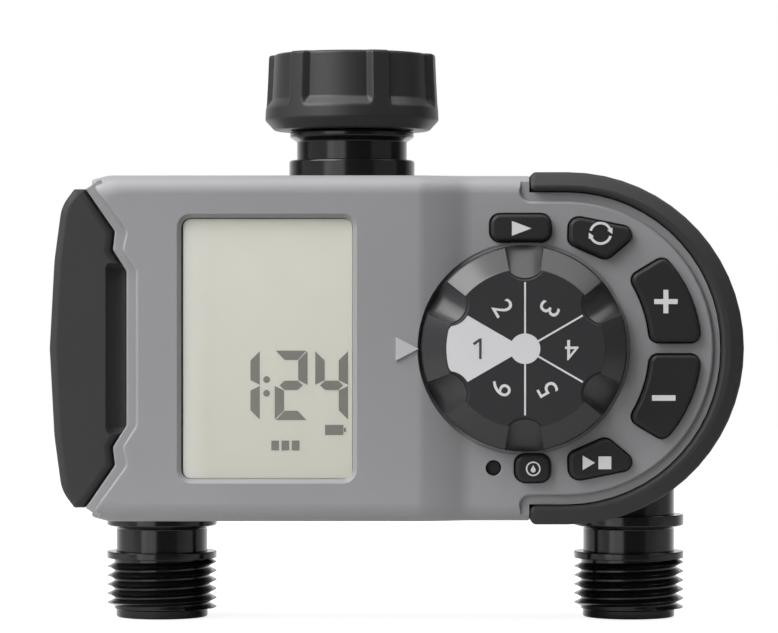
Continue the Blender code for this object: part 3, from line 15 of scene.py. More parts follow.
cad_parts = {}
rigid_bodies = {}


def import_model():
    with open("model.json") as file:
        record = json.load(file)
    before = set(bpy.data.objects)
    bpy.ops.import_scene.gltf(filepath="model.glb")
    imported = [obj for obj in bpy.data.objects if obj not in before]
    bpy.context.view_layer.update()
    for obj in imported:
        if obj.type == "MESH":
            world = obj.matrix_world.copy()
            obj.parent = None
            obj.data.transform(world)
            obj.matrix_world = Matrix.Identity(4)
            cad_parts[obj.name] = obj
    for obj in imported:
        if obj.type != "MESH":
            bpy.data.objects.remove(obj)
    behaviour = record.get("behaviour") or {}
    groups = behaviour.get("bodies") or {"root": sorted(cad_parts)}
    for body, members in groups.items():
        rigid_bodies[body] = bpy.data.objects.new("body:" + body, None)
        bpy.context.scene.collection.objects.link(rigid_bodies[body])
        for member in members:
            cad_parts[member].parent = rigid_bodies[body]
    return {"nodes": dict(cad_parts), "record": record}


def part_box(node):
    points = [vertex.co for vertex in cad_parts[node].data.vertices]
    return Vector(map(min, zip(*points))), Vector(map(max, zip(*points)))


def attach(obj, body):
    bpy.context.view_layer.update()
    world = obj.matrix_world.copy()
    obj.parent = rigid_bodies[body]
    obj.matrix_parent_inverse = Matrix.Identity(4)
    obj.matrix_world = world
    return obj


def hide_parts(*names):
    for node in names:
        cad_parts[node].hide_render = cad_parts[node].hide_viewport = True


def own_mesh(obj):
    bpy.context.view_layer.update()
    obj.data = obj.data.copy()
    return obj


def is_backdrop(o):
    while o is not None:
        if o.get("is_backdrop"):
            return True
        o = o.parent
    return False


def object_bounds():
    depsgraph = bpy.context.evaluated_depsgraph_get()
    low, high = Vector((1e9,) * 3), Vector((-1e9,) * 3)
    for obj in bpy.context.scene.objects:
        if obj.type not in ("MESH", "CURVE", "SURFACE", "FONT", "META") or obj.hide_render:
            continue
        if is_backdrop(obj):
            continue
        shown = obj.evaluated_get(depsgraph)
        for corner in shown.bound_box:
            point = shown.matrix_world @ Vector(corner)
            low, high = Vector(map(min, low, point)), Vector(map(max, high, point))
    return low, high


for leftover in list(bpy.data.objects):
    bpy.data.objects.remove(leftover, do_unlink=True)

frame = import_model()
cad_low, cad_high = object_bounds()

# %% [markdown]
# ## Camera
# The photograph is taken straight from the front, a little above the middle of the dial.
# A long lens about 0.9 m away gives the same mild perspective: the dial, which stands forward, looks
# slightly larger than the outlets behind it.

# %% Camera
def added(name, data):
    """A new object in the scene."""
    made = bpy.data.objects.new(name, data)
    bpy.context.scene.collection.objects.link(made)
    return made


camera_data = bpy.data.cameras.new("photo_camera")
camera_data.lens = 169.4
camera_data.sensor_width = 36
camera = added("photo_camera", camera_data)
camera.location = (0.0091, -0.9, -0.0643)
camera.rotation_euler = (math.pi / 2, 0, 0)
bpy.context.scene.camera = camera
bpy.context.scene.view_settings.view_transform = "Standard"
print("camera lens", camera_data.lens, "mm")

# %% [markdown]
# ## Shader sums
# A moulded surface is never one flat colour: it has a fine spark-eroded grain, cloudy gloss and small
# changes of tone. Those come from noise, mixed with plain sums. A socket is wrapped in a small class, so
# that `clouds * 0.8 + pebbles * 0.2` writes the Math nodes by itself, which keeps the finishes short to
# read. The Geometry Nodes further down use the same classes.

# %% Shader sums
class Wire:
    """A socket of a node tree that can be used in sums."""

    def __init__(self, tree, socket):
        self.tree = tree
        self.socket = socket

    def sum(self, operation, first, second):
        node = self.tree.nodes.new("ShaderNodeMath")
        node.operation = operation
        for socket, value in zip(node.inputs, (first, second)):
            plug(self.tree, socket, value)
        return Wire(self.tree, node.outputs[0])

    def __add__(self, other):
        return self.sum("ADD", self, other)

    def __radd__(self, other):
        return self.sum("ADD", other, self)

    def __sub__(self, other):
        return self.sum("SUBTRACT", self, other)

    def __mul__(self, other):
        return self.sum("MULTIPLY", self, other)


def plug(tree, socket, value):
    """Links a wire to a socket, or sets the socket's own value."""
    if isinstance(value, Wire):
        tree.links.new(value.socket, socket)
    else:
        socket.default_value = value


class Nodes:
    """A node tree, with a method that adds any node to it."""

    def __init__(self, tree):
        self.tree = tree

    def node(self, kind, settings=(), output=0, **sockets):
        """Adds a node: its settings first, then its sockets by name or, as s0, s1, by number."""
        made = self.tree.nodes.new(kind)
        for name, value in dict(settings).items():
            setattr(made, name, value)
        for name, value in sockets.items():
            key = int(name[1:]) if name[0] == "s" and name[1:].isdigit() else name.replace("_", " ")
            plug(self.tree, made.inputs[key], value)
        return Wire(self.tree, made.outputs[output])

    def ramp(self, value, low, high):
        """The value stretched so that low becomes 0 and high becomes 1."""
        return self.node("ShaderNodeMapRange", Value=value, From_Min=low, From_Max=high)


class Finish(Nodes):
    """A material with one Principled shader."""

    def __init__(self, name, **constants):
        self.material = bpy.data.materials.new(name)
        self.material.use_nodes = True
        super().__init__(self.material.node_tree)
        self.shader = self.tree.nodes["Principled BSDF"]
        self.feed(**constants)

    def feed(self, **values):
        for name, value in values.items():
            plug(self.tree, self.shader.inputs[name.replace("_", " ")], value)

    def place(self):
        return self.node("ShaderNodeTexCoord", output=3)

    def noise(self, scale, detail=3.0, stretch=None):
        where = self.place()
        if stretch:
            where = self.node("ShaderNodeMapping", Vector=where, Scale=stretch)
        return self.node("ShaderNodeTexNoise", Vector=where, Scale=scale, Detail=detail)

    def mix(self, share, first, second):
        """Two colours mixed by a share from 0 to 1."""
        return self.node("ShaderNodeMix", {"data_type": "RGBA"}, 2, s0=share, s6=first, s7=second)

    def bump(self, height, depth):
        return self.node("ShaderNodeBump", Height=height, Distance=depth, Strength=1.0)


def rgb(red, green, blue):
    """A colour given as it looks on screen, 0 to 255, as the shader needs it."""
    shares = [c / 255 for c in (red, green, blue)]
    return (*[s / 12.92 if s <= 0.04045 else ((s + 0.055) / 1.055) ** 2.4 for s in shares], 1.0)


print("shader helpers ready")

# %% [markdown]
# ## Studio
# The picture has a pure white ground. A pale floor touches the outlets, and its own glow plus the light
# that falls on it add up to white, so the soft shadow stays. The world looks white to the camera, and in
# reflections towards the back, but lights the object only gently. The studio's front is dark, so the
# glossy black tubes show one upright highlight: the large soft box in front on the left. Two more hang
# high on the left and overhead, and light the rolled top edges. A broad one fills the left side, and a
# weak one keeps the shaded right side from going black.

# %% Studio
AMBIENT = 0.07
DARK_FRONT, WHITE_BACK = 0.45, 0.90      # a mirrored ray meets white when it heads this far back
WHITE, BLACK = (1, 1, 1, 1), (0, 0, 0, 1)
FLOOR_REACH, FLOOR_FRONT, FLOOR_GAP = 1.5, -0.12, 0.0003


def softbox(name, place, aim, width, height, watts):
    lamp = bpy.data.lights.new(name, "AREA")
    lamp.shape = "RECTANGLE"
    lamp.size = width
    lamp.size_y = height
    lamp.energy = watts
    made = added(name, lamp)
    made.location = place
    made.rotation_euler = (Vector(aim) - Vector(place)).to_track_quat("-Z", "Y").to_euler()


def white_rays(nodes):
    """1 for rays from the camera, and for mirrored ones that head for the back of the studio, else 0."""
    camera_ray, glossy, through = [nodes.node("ShaderNodeLightPath", output=f"Is {way} Ray")
                                   for way in ("Camera", "Glossy", "Transmission")]
    mirrored_ray = glossy.sum("MAXIMUM", glossy, through)
    ray = nodes.node("ShaderNodeNewGeometry", output="Incoming")
    backwards = nodes.node("ShaderNodeSeparateXYZ", output="Y", Vector=ray) * -1.0
    whiteness = mirrored_ray * nodes.ramp(backwards, DARK_FRONT, WHITE_BACK)
    return camera_ray.sum("MAXIMUM", camera_ray, whiteness)


world = bpy.data.worlds.new("studio")
bpy.context.scene.world = world
world.use_nodes = True
sky = world.node_tree.nodes["Background"]
sky.inputs["Color"].default_value = WHITE
white_share = white_rays(Nodes(world.node_tree))
plug(world.node_tree, sky.inputs["Strength"], AMBIENT + white_share * (1 - AMBIENT))

floor_mesh = bpy.data.meshes.new("floor")
floor_z = cad_low.z - FLOOR_GAP
spots = [(x, y, floor_z) for x in (-FLOOR_REACH, FLOOR_REACH) for y in (FLOOR_FRONT, FLOOR_REACH)]
floor_mesh.from_pydata(spots, [], [(0, 2, 3, 1)])
floor = added("floor", floor_mesh)
paper = Finish("floor_paper", Roughness=0.9, Base_Color=(0.6, 0.6, 0.6, 1), Emission_Strength=0.90,
               Specular_IOR_Level=0.0)
paper.feed(Emission_Color=paper.mix(white_rays(paper), BLACK, WHITE))
floor_mesh.materials.append(paper.material)
floor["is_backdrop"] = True

middle = Vector((0.011, 0, -0.07))
softbox("main_light", (-0.56, -0.89, 0.12), middle, 0.75, 1.0, 3.3)
softbox("high_left", (-0.52, -0.35, 0.52), middle, 0.8, 0.6, 7.4)
softbox("overhead", (0.05, -0.16, 0.70), middle, 1.8, 0.5, 7.6)
softbox("left_fill", (-1.0, -0.35, 0.10), middle, 1.4, 1.4, 2.6)
softbox("right_fill", (1.0, -0.45, 0.05), middle, 1.0, 1.0, 0.8)
print("studio: five soft boxes, floor at", round(floor_z, 4))

# %% [markdown]
# ## Finishes
# The shells are grey moulded plastic with a fine matt grain. The nut, the outlets and the dial are black
# plastic, satin or glossy. The bumper, the door front and the keys are softer and scatter more light.
# Inside there are steel, copper wire, a green board and printed cells. Each finish has its own grain.

# %% Plastic and rubber finishes
CLOUD_SCALE = 38.0
CLOUD_TONE = 0.06        # how much paler or deeper the clouds make the colour


def moulded(name, colour, roughness, grain, depth, specular=0.5):
    """Moulded plastic or rubber: cloudy tone, cloudy gloss and a fine pebbled grain."""
    made = Finish(name, Specular_IOR_Level=specular)
    clouds = made.noise(CLOUD_SCALE, 4.0)
    pebbles = made.noise(grain, 2.0)
    deep, pale = [tuple(min(1.0, c * tone) for c in colour[:3]) + (1.0,)
                  for tone in (1 - CLOUD_TONE, 1 + CLOUD_TONE)]
    made.feed(Base_Color=made.mix(clouds * 0.8 + pebbles * 0.2, deep, pale))
    made.feed(Roughness=clouds * 0.12 + pebbles * 0.06 + (roughness - 0.09))
    made.feed(Normal=made.bump(pebbles, depth))
    return made.material


GREY_SHELL = moulded("grey_shell", rgb(146, 146, 148), 0.46, 2600.0, 0.00003)
SATIN_BLACK = moulded("satin_black", rgb(42, 42, 43), 0.42, 3000.0, 0.00002, specular=0.4)
GLOSS_BLACK = moulded("gloss_black", rgb(22, 22, 22), 0.17, 1800.0, 0.000006)
SOFT_BLACK = moulded("soft_black", rgb(50, 50, 51), 0.58, 2400.0, 0.00004, specular=0.35)
KEY_BLACK = moulded("key_black", rgb(36, 36, 37), 0.50, 3200.0, 0.00002, specular=0.3)
DIAL_BLACK = moulded("dial_black", rgb(44, 44, 46), 0.25, 3000.0, 0.00001)
FACE_BLACK = moulded("dial_face_black", rgb(45, 45, 47), 0.60, 4000.0, 0.000008, specular=0.3)
POINTER_GREY = moulded("pointer_grey", rgb(186, 186, 188), 0.50, 3000.0, 0.00001)
SECTOR_INK = moulded("sector_ink", rgb(212, 212, 214), 0.60, 5000.0, 0.000005)
WHITE_INK = moulded("white_ink", rgb(214, 214, 215), 0.60, 5000.0, 0.000005)
BLACK_INK = moulded("black_ink", rgb(60, 60, 62), 0.60, 5000.0, 0.000005)
MILKY = moulded("milky_plastic", rgb(222, 221, 214), 0.45, 1500.0, 0.00001)
SEAL = moulded("seal_rubber_dull", rgb(36, 36, 37), 0.72, 2000.0, 0.00003)
print("plastics and rubbers:", len(bpy.data.materials), "materials")

# %% Metal, glass and inside finishes
def streaked(name, grain, dark, pale, gloss, **constants):
    """Tone and gloss in streaks: a grain of scale, detail and stretch, a gloss of a share and a base."""
    made = Finish(name, **constants)
    streaks = made.noise(*grain)
    made.feed(Base_Color=made.mix(streaks, dark, pale), Roughness=streaks * gloss[0] + gloss[1])
    return made.material


def winding_finish():
    """Enamelled copper wire: a fine ring for each turn of wire."""
    made = Finish("copper_winding", Metallic=0.9)
    turns = made.node("ShaderNodeTexWave", {"bands_direction": "Z"}, 1, Vector=made.place(), Scale=900.0)
    made.feed(Base_Color=made.mix(turns, rgb(112, 58, 30), rgb(196, 116, 66)), Roughness=0.32)
    made.feed(Normal=made.bump(turns, 0.00008))
    return made.material


def board_finish():
    """Green lacquer over faint copper tracks."""
    made = Finish("board_lacquer", Roughness=0.35)
    cells = made.node("ShaderNodeTexVoronoi", {"distance": "MANHATTAN"}, Vector=made.place(), Scale=260.0)
    tracks = made.ramp(cells, 0.42, 0.46)
    made.feed(Base_Color=made.mix(tracks, rgb(30, 84, 50), rgb(46, 112, 66)))
    made.feed(Normal=made.bump(tracks, 0.00003))
    return made.material


def lcd_finish():
    """The reflector behind the liquid crystal: pale green-grey, darker below, with a painted reflection that
    pales its left edge.
    """
    made = Finish("lcd_reflector", Specular_IOR_Level=0.3)
    low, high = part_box("lcd_panel")
    spot = made.node("ShaderNodeSeparateXYZ", Vector=made.place())
    across = made.ramp(spot, low.x, high.x)
    height = made.ramp(Wire(made.tree, spot.socket.node.outputs[2]), low.z, high.z)
    speckle = made.noise(2500.0, 1.0)
    warm = made.mix(height, rgb(196, 194, 180), rgb(219, 217, 204))
    # painted reflection: the left edge of the panel is mixed towards near white
    made.feed(Base_Color=made.mix(made.ramp(across, 0.16, 0.0) * 0.6, warm, rgb(232, 233, 231)))
    made.feed(Roughness=speckle * 0.08 + 0.36)
    return made.material


def lens_finish():
    """Clear moulded acrylic: mostly let through, with faint wipe marks in its gloss."""
    made = Finish("clear_acrylic", Base_Color=(1, 1, 1, 1), Specular_IOR_Level=0.4)
    made.feed(Alpha=made.noise(120.0) * 0.03 + 0.05)
    made.feed(Roughness=made.noise(60.0) * 0.05 + 0.04)
    return made.material


STEEL = streaked("drawn_steel", (900.0, 2.0, (1.0, 1.0, 0.05)), rgb(168, 168, 170), rgb(205, 205, 206),
                 (0.18, 0.20), Metallic=1.0)
CELL = streaked("cell_sleeve", (300.0, 3.0, (1.0, 1.0, 0.1)), rgb(72, 104, 80), rgb(96, 132, 104),
                (0.15, 0.25), Metallic=0.3)
LEAD = streaked("lead_insulation_red", (700.0,), rgb(150, 38, 30), rgb(178, 52, 42), (0.0, 0.45))
WINDING = winding_finish()
BOARD = board_finish()
LCD = lcd_finish()
LENS = lens_finish()
SEGMENT = moulded("lcd_segment", rgb(88, 88, 77), 0.45, 4000.0, 0.000004)
print("finishes:", len(bpy.data.materials), "materials")

# %% [markdown]
# ## Outlines and lofts
# Almost every shell piece here is an outline in the front plane carried to a depth: the housing, the
# bumper, the door, the keys and the lens. An outline is written as its corners with a radius each, and
# a loft joins copies of it at several depths. Fine steps round the corners give clean highlights.

# %% Outlines
MID_Z = -0.0718          # middle of the housing
HALF = 0.0407            # half its height
END_X = 0.0509           # centre of its round end
STEP = math.radians(6)   # turn between two points of an arc
LEAST_R = 0.00003        # a corner shrinks no further than this
SAME_SPOT = 1e-6         # points nearer than this are merged
SHARP = math.radians(32)  # edges that turn more than this stay sharp


def turn_at(corners, i):
    before, here, after = corners[i - 1], corners[i], corners[(i + 1) % len(corners)]
    into = (Vector(here[:2]) - Vector(before[:2])).normalized()
    out = (Vector(after[:2]) - Vector(here[:2])).normalized()
    return into, out, math.atan2(into.x * out.y - into.y * out.x, into.dot(out))


def grown(corners, distance):
    """The corners moved outwards by a distance, with their radii changed to suit."""
    moved = []
    for i, (x, z, radius) in enumerate(corners):
        into, out, angle = turn_at(corners, i)
        normals = Vector((into.y, -into.x)) + Vector((out.y, -out.x))
        place = Vector((x, z)) + normals * distance / (1 + into.dot(out))
        if radius:
            radius = max(radius + math.copysign(distance, angle * distance), LEAST_R)
        moved.append((place.x, place.y, radius))
    return moved


def outline(corners):
    """The points of an outline, with an arc at each corner that has a radius."""
    points = []
    for i, (x, z, radius) in enumerate(corners):
        into, out, angle = turn_at(corners, i)
        corner = Vector((x, z))
        if not radius:
            points.append(corner)
            continue
        start = corner - into * radius * math.tan(abs(angle) / 2)
        centre = start + Vector((-into.y, into.x)) * math.copysign(radius, angle)
        steps = max(2, math.ceil(abs(angle) / STEP - 0.01))
        for k in range(steps + 1):
            points.append(centre + Matrix.Rotation(angle * k / steps, 2) @ (start - centre))
    return points


def mirrored(corners):
    """The corners reflected above and below the middle of the housing."""
    return [(x, 2 * MID_Z - z, radius) for x, z, radius in reversed(corners)]


def rectangle(x, z, width, height, radius=0.0):
    left, right = x - width / 2, x + width / 2
    low, high = z - height / 2, z + height / 2
    return [(left, low, radius), (right, low, radius), (right, high, radius), (left, high, radius)]


def disc(x, z, radius):
    """A circle is a square with fully rounded corners."""
    return rectangle(x, z, 2 * radius, 2 * radius, radius)


def spread(start, end, steps):
    """Angles in even steps, with both ends."""
    return [start + (end - start) * k / steps for k in range(steps + 1)]


def full_turn(columns):
    return spread(0, 2 * math.pi, columns)[:-1]


def arc(x, z, radius, angles):
    return [(x + radius * math.cos(a), z + radius * math.sin(a)) for a in angles]


def quarter(radius, steps):
    """A quarter round, as pairs of the inset that is left and the depth reached."""
    return [(radius * (1 - math.sin(a)), radius * (1 - math.cos(a))) for a in spread(0, math.pi / 2, steps)]


print("outline helpers ready")

# %% Solids
def stitch(bm, near, far):
    """A strip of faces between two rows of points."""
    for j in range(len(near)):
        k = (j + 1) % len(near)
        bm.faces.new((near[j], near[k], far[k], far[j]))


def skin(bm, rows, closed=False):
    """Adds a solid given as rows of points. A closed one joins its last row to its first."""
    rows = [[bm.verts.new(spot) for spot in row] for row in rows]
    if closed:
        rows.append(rows[0])
    else:
        bm.faces.new(rows[0])
        bm.faces.new(rows[-1])
    for near, far in zip(rows, rows[1:]):
        stitch(bm, near, far)


def loft(layers):
    """Rows of a solid through outlines given as (corners, y)."""
    return [[(p.x, y, p.y) for p in outline(corners)] for corners, y in layers]


def rounded(corners, y_edge, y_end, radius, steps):
    """Layers of a block whose edge at y_edge is rounded over."""
    way = math.copysign(1, y_end - y_edge)
    layers = [(grown(corners, -inset), y_edge + way * depth) for inset, depth in quarter(radius, steps)]
    return layers + [(corners, y_end)]


def revolve(profile, axis="Z", spot=(0.0, 0.0), columns=96):
    """Rows of a solid turned about X, Y or Z, from (radius, along) points."""
    rows = []
    for radius, along in profile:
        ring = arc(*spot, radius, full_turn(columns))
        rows.append({"X": [(along, u, v) for u, v in ring], "Y": [(u, along, v) for u, v in ring],
                     "Z": [(u, v, along) for u, v in ring]}[axis])
    return rows


def rod(axis, spot, radius, start, end, columns=64):
    return revolve([(radius, start), (radius, end)], axis, spot, columns)


print("helpers for solids ready")

# %% Pieces
def smooth(made):
    made.data.shade_smooth()
    made.data.set_sharp_from_angle(angle=SHARP)


def piece(name, bm, finish=None):
    """A finished mesh object at the origin, with doubles merged and its faces pointing outwards."""
    bmesh.ops.remove_doubles(bm, verts=bm.verts, dist=SAME_SPOT)
    bmesh.ops.dissolve_degenerate(bm, edges=bm.edges, dist=SAME_SPOT / 10)
    bmesh.ops.recalc_face_normals(bm, faces=bm.faces)
    mesh = bpy.data.meshes.new(name)
    bm.to_mesh(mesh)
    bm.free()
    if finish:
        mesh.materials.append(finish)
    made = added(name, mesh)
    smooth(made)
    return made


def solid(name, solids, finish=None, closed=False):
    """A piece of one or more solids, each given as rows of points."""
    bm = bmesh.new()
    for rows in solids:
        skin(bm, rows, closed)
    return piece(name, bm, finish)


def lofted(name, layers, finish=None):
    return solid(name, [loft(layers)], finish)


def plates(name, shapes, front_y, back_y, finish):
    """Thin plates in the front plane, one for each list of (x, z) points."""
    flat = [[(x, z, 0.0) for x, z in shape] for shape in shapes]
    return solid(name, [loft([(corners, front_y), (corners, back_y)]) for corners in flat], finish)


def baked(made):
    """The mesh of an object as its modifiers leave it."""
    bpy.context.view_layer.update()
    return bpy.data.meshes.new_from_object(made.evaluated_get(bpy.context.evaluated_depsgraph_get()))


def settle(made):
    """Keeps what the modifiers of an object make as its plain mesh."""
    mesh = baked(made)
    made.modifiers.clear()
    made.data = mesh


def combine(target, tool, operation="DIFFERENCE"):
    """Cuts a tool out of a piece, or joins it on."""
    step = target.modifiers.new("combine", "BOOLEAN")
    step.operation = operation
    step.solver = "EXACT"
    step.object = tool
    settle(target)
    bpy.data.objects.remove(tool, do_unlink=True)
    smooth(target)


def even_normals(made):
    """Lets the large flat faces rule the shading, so that they look flat beside rounded edges."""
    step = made.modifiers.new("even_normals", "WEIGHTED_NORMAL")
    step.keep_sharp = True
    settle(made)


def dress(made, body, slot, *nodes):
    """Says which body a piece moves with and which solids it stands for. The slot argument is not used."""
    even_normals(made)
    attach(made, body)
    if nodes:
        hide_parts(*nodes)
    made.data.calc_loop_triangles()
    print(made.name, "has", len(made.data.loop_triangles), "triangles and rides on", body)


print("helpers for pieces ready")

# %% [markdown]
# ## Front housing
# The front shell is one moulding: a block for the display and the controls, a skirt behind it, and a low
# lip that follows the battery door. Its top and bottom edges roll over in a wide curve that catches the
# light. To the right of the display the face falls away in a hollow slope that runs out softly into the
# control panel. Lofts give the block, and Boolean steps carve the slope, the ledge and the openings.

# %% Front housing outlines
FIT = 0.0003             # gap between pieces that touch
WALL = 0.0020            # thickness of the shells
FACE_Y = -0.0431         # front of the display block
PANEL_Y = -0.0396        # front of the control panel
SHELF_Y = -0.0141        # where the skirt begins behind the door and the bumper
REAR_Y = 0.0170          # back of the housing
BUMPER_R = 0.0418
BUMPER_X = 0.0424        # left end of the bumper
BUMPER_THICK = 0.0054
BUMPER_THIN = 0.0006     # how much thinner it is above and below than at the right
DOOR_SIDE = [(-0.0528, 0.0181), (-0.0560, 0.0231), (-0.0555, 0.0274), (-0.0624, 0.0374)]
LIP_WIDTH = 0.0023
LIP_SLANT = ((-0.0529, 0.0280), (-0.0590, 0.0364))
LIP_RISE = 0.0022
SHOULDER = (0.0043, 0.0012)              # width and drop of the block's upper left corner
EDGE_R = 0.0007          # rounding of the edge beside the door


def lip_x(height):
    """Inner side of the lip on its upper slant, at a height above the middle."""
    (neck_x, neck), (tip_x, tip) = LIP_SLANT
    return neck_x + (tip_x - neck_x) * (height - neck) / (tip - neck)


def block_outline(drop=0.0, edge=0.0):
    """The block, lower by drop at top and bottom and narrower by edge beside the door."""
    seat_r = BUMPER_R - BUMPER_THICK - FIT
    seat_top = seat_r + BUMPER_THIN
    step_x = BUMPER_X - FIT
    top = HALF - drop
    inner, notch, neck = [(x + FIT + LIP_WIDTH + edge, z) for x, z in DOOR_SIDE[:3]]
    upper = [
        (END_X + seat_r, MID_Z + seat_top, seat_r),
        (step_x, MID_Z + seat_top, 0.0),
        (step_x, MID_Z + top, 0.0),
        (lip_x(top - SHOULDER[1]) + edge + SHOULDER[0], MID_Z + top, 0.0090),
        (lip_x(top - SHOULDER[1]) + edge, MID_Z + top - SHOULDER[1], 0.0007),
        (lip_x(neck[1]) + edge, MID_Z + neck[1], 0.0020),
        (notch[0], MID_Z + notch[1], 0.0020),
        (inner[0], MID_Z + inner[1], 0.0020),
    ]
    return upper + mirrored(upper)


def block_layers(y_edge, y_end, radius, margin, steps):
    """Layers of the block: a wide roll at top and bottom, a narrow one beside the door."""
    layers = []
    for inset, reached in quarter(radius, steps):
        depth = min(1.0, reached / EDGE_R)
        edge = EDGE_R * (1 - math.sqrt(1 - (1 - depth) ** 2))
        layers.append((grown(block_outline(inset, edge), margin), y_edge + reached))
    return layers + [(grown(block_outline(), margin), y_end)]


def lip_outline(inset=0.0):
    """The lip beside the door. Its right side lies inside the block."""
    upper = [
        (-0.0492, MID_Z + DOOR_SIDE[0][1], 0.0),
        (lip_x(DOOR_SIDE[2][1]) + WALL / 2, MID_Z + DOOR_SIDE[2][1], 0.0),
        (lip_x(DOOR_SIDE[3][1]) + WALL / 2, MID_Z + DOOR_SIDE[3][1] + LIP_RISE, 0.0),
    ]
    radii = (0.0, 0.0010, 0.0012, 0.0012)
    for (x, z), radius in zip(reversed(DOOR_SIDE), radii):
        upper.append((x + FIT + inset, MID_Z + z, radius))
    return upper + mirrored(upper)


def skirt_outline():
    """The rear part of the housing, behind the door and the bumper."""
    end_r = HALF - 0.0004
    upper = [
        (END_X + end_r, MID_Z + end_r, end_r),
        (-0.0566, MID_Z + end_r, 0.0050),
        (-0.0653, MID_Z + 0.0359, 0.0030),
        (-0.0682, MID_Z + 0.0294, 0.0050),
    ]
    return upper + mirrored(upper)


print("block outline has", len(outline(block_outline())), "points")

# %% Front housing openings
SLOPE = ((0.0157, 0.0), (0.0175, 0.24), (0.0253, 0.44), (0.0288, 0.0))     # x and steepness
ROLL = 0.0045            # radius of the housing's upper and lower edges
WINDOW = rectangle(-0.0195, MID_Z, 0.0390, 0.0600, 0.0017)
WINDOW_FLARE, WINDOW_PLAY = 0.0016, 0.0006
DIAL_X = 0.04075
DIAL_R = 0.0242
WELL_R, SHAFT_HOLE_R = 0.0250, 0.0034
PLATEAU_R = 0.0346
LEDGE_X, LEDGE_EDGE, LEDGE_DROP = 0.0400, 0.0008, 0.0012
RESET_SPOT, RESET_R = (0.0337, MID_Z - 0.0281), 0.0018
KEY_R, KEY_HOLLOW_R = 0.0313, 0.0298     # the plus key, on its outside and towards the dial
KEY_GAP = 0.0015         # half the gap between plus and minus
KEY_SPAN = math.radians(43.5) - 0.048
MOUTH_R = 0.0003         # rounded mouths of the holes in the panel
CLEAR = 0.00002          # keeps cutters off the plane of the panel
FAR_FRONT, FAR_RIGHT, FAR_UP = -0.09, 0.14, 0.06


def plus_outline():
    """Round on the outside, hollow towards the dial."""
    heel, hollow_heel = [math.asin(KEY_GAP / radius) for radius in (KEY_R, KEY_HOLLOW_R)]
    spots = arc(END_X, MID_Z, KEY_R, spread(heel, heel + KEY_SPAN, 8))
    spots += arc(DIAL_X, MID_Z, KEY_HOLLOW_R, spread(math.radians(34), hollow_heel, 8))
    sharp = (0, 8, 9, 17)
    return [(x, z, 0.0020 if i in sharp else 0.0) for i, (x, z) in enumerate(spots)]


def station_outline():
    corners = ((0.0004, 0.0247, 0.0020), (0.0092, 0.0209, 0.0022), (0.0153, 0.0260, 0.0016),
               (0.0146, 0.0284, 0.0018), (0.0006, 0.0312, 0.0024))
    return [(END_X + x, MID_Z + rise, radius) for x, rise, radius in corners]


KEYS = {
    "arrow": rectangle(0.0400, MID_Z + 0.0283, 0.0140, 0.0063, 0.0022),
    "station": station_outline(),
    "plus": plus_outline(),
    "minus": mirrored(plus_outline()),
    "manual": mirrored(station_outline()),
    "rain_delay": rectangle(0.0428, MID_Z - 0.0281, 0.0080, 0.0064, 0.0023),
}


print("openings for", len(KEYS), "keys")

# %% Front housing cutters
def slope_curve():
    """The hollow slope from the display face down to the panel, as (x, y) points."""
    steps = 8
    points = [(SLOPE[0][0], 0.0)]
    for (x0, steep0), (x1, steep1) in zip(SLOPE, SLOPE[1:]):
        for k in range(steps):
            x = x0 + (x1 - x0) * (k + 1) / steps
            steep = steep0 + (steep1 - steep0) * (k + 0.5) / steps
            points.append((x, points[-1][1] + steep * (x1 - x0) / steps))
    drop = (PANEL_Y - FACE_Y) / points[-1][1]
    return [(x, FACE_Y + y * drop) for x, y in points]


def panel_cutter(gap):
    """All that lies in front of the panel and its slope, which roll over at the top and bottom edges."""
    curve = slope_curve()
    curve = [(curve[0][0] - 0.0050, FACE_Y - 0.0002)] + curve + [(FAR_RIGHT, PANEL_Y)]
    front_corners = [(curve[-1][0], FAR_FRONT), (curve[0][0], FAR_FRONT)]
    radius = ROLL - gap
    heights = [(HALF - gap - inset, depth) for inset, depth in quarter(radius, 12)] + [(FAR_UP, radius)]
    rows = []
    for height, back in [(-z, y) for z, y in reversed(heights)] + heights:
        row = [(x, y + gap + back) for x, y in curve] + front_corners
        rows.append([(x, y, MID_Z + height) for x, y in row])
    return solid("panel_cutter", [rows])


def ledge_cutter():
    """The lower ledge between the raised panel and the bumper, with a rounded upper edge."""
    far = 2 * BUMPER_R
    upper = [
        (END_X + far, MID_Z + far, far),
        (LEDGE_X, MID_Z + far, 0.0),
        (LEDGE_X, MID_Z + PLATEAU_R, 0.0024),
        (END_X + PLATEAU_R, MID_Z + PLATEAU_R, PLATEAU_R),
    ]
    corners = upper + mirrored(upper)
    layers = [(grown(corners, LEDGE_EDGE), FACE_Y - WALL)]
    layers += [(grown(corners, inset), PANEL_Y - CLEAR + depth) for inset, depth in quarter(LEDGE_EDGE, 6)]
    return lofted("ledge_cutter", layers + [(corners, PANEL_Y + LEDGE_DROP)])


def panel_hole(corners):
    """Rows of a cutter for a hole through the panel, with a rounded mouth."""
    layers = [(grown(corners, MOUTH_R), FACE_Y - WALL)]
    layers += [(grown(corners, inset), PANEL_Y - CLEAR + depth) for inset, depth in quarter(MOUTH_R, 4)]
    return loft(layers + [(corners, PANEL_Y + 2 * WALL)])


def front_openings():
    """The window, which widens towards the front, the holes for the keys and the reset hole."""
    flare, mouth = grown(WINDOW, WINDOW_FLARE), grown(WINDOW, WINDOW_PLAY)
    window = loft([(grown(flare, WALL), FACE_Y - WALL), (flare, FACE_Y),
                   (grown(mouth, 0.0001), FACE_Y + 0.0008), (mouth, FACE_Y + 0.0010),
                   (mouth, FACE_Y + 2 * WALL)])
    holes = [grown(corners, FIT) for corners in KEYS.values()] + [disc(*RESET_SPOT, RESET_R)]
    return solid("front_openings", [window] + [panel_hole(corners) for corners in holes])


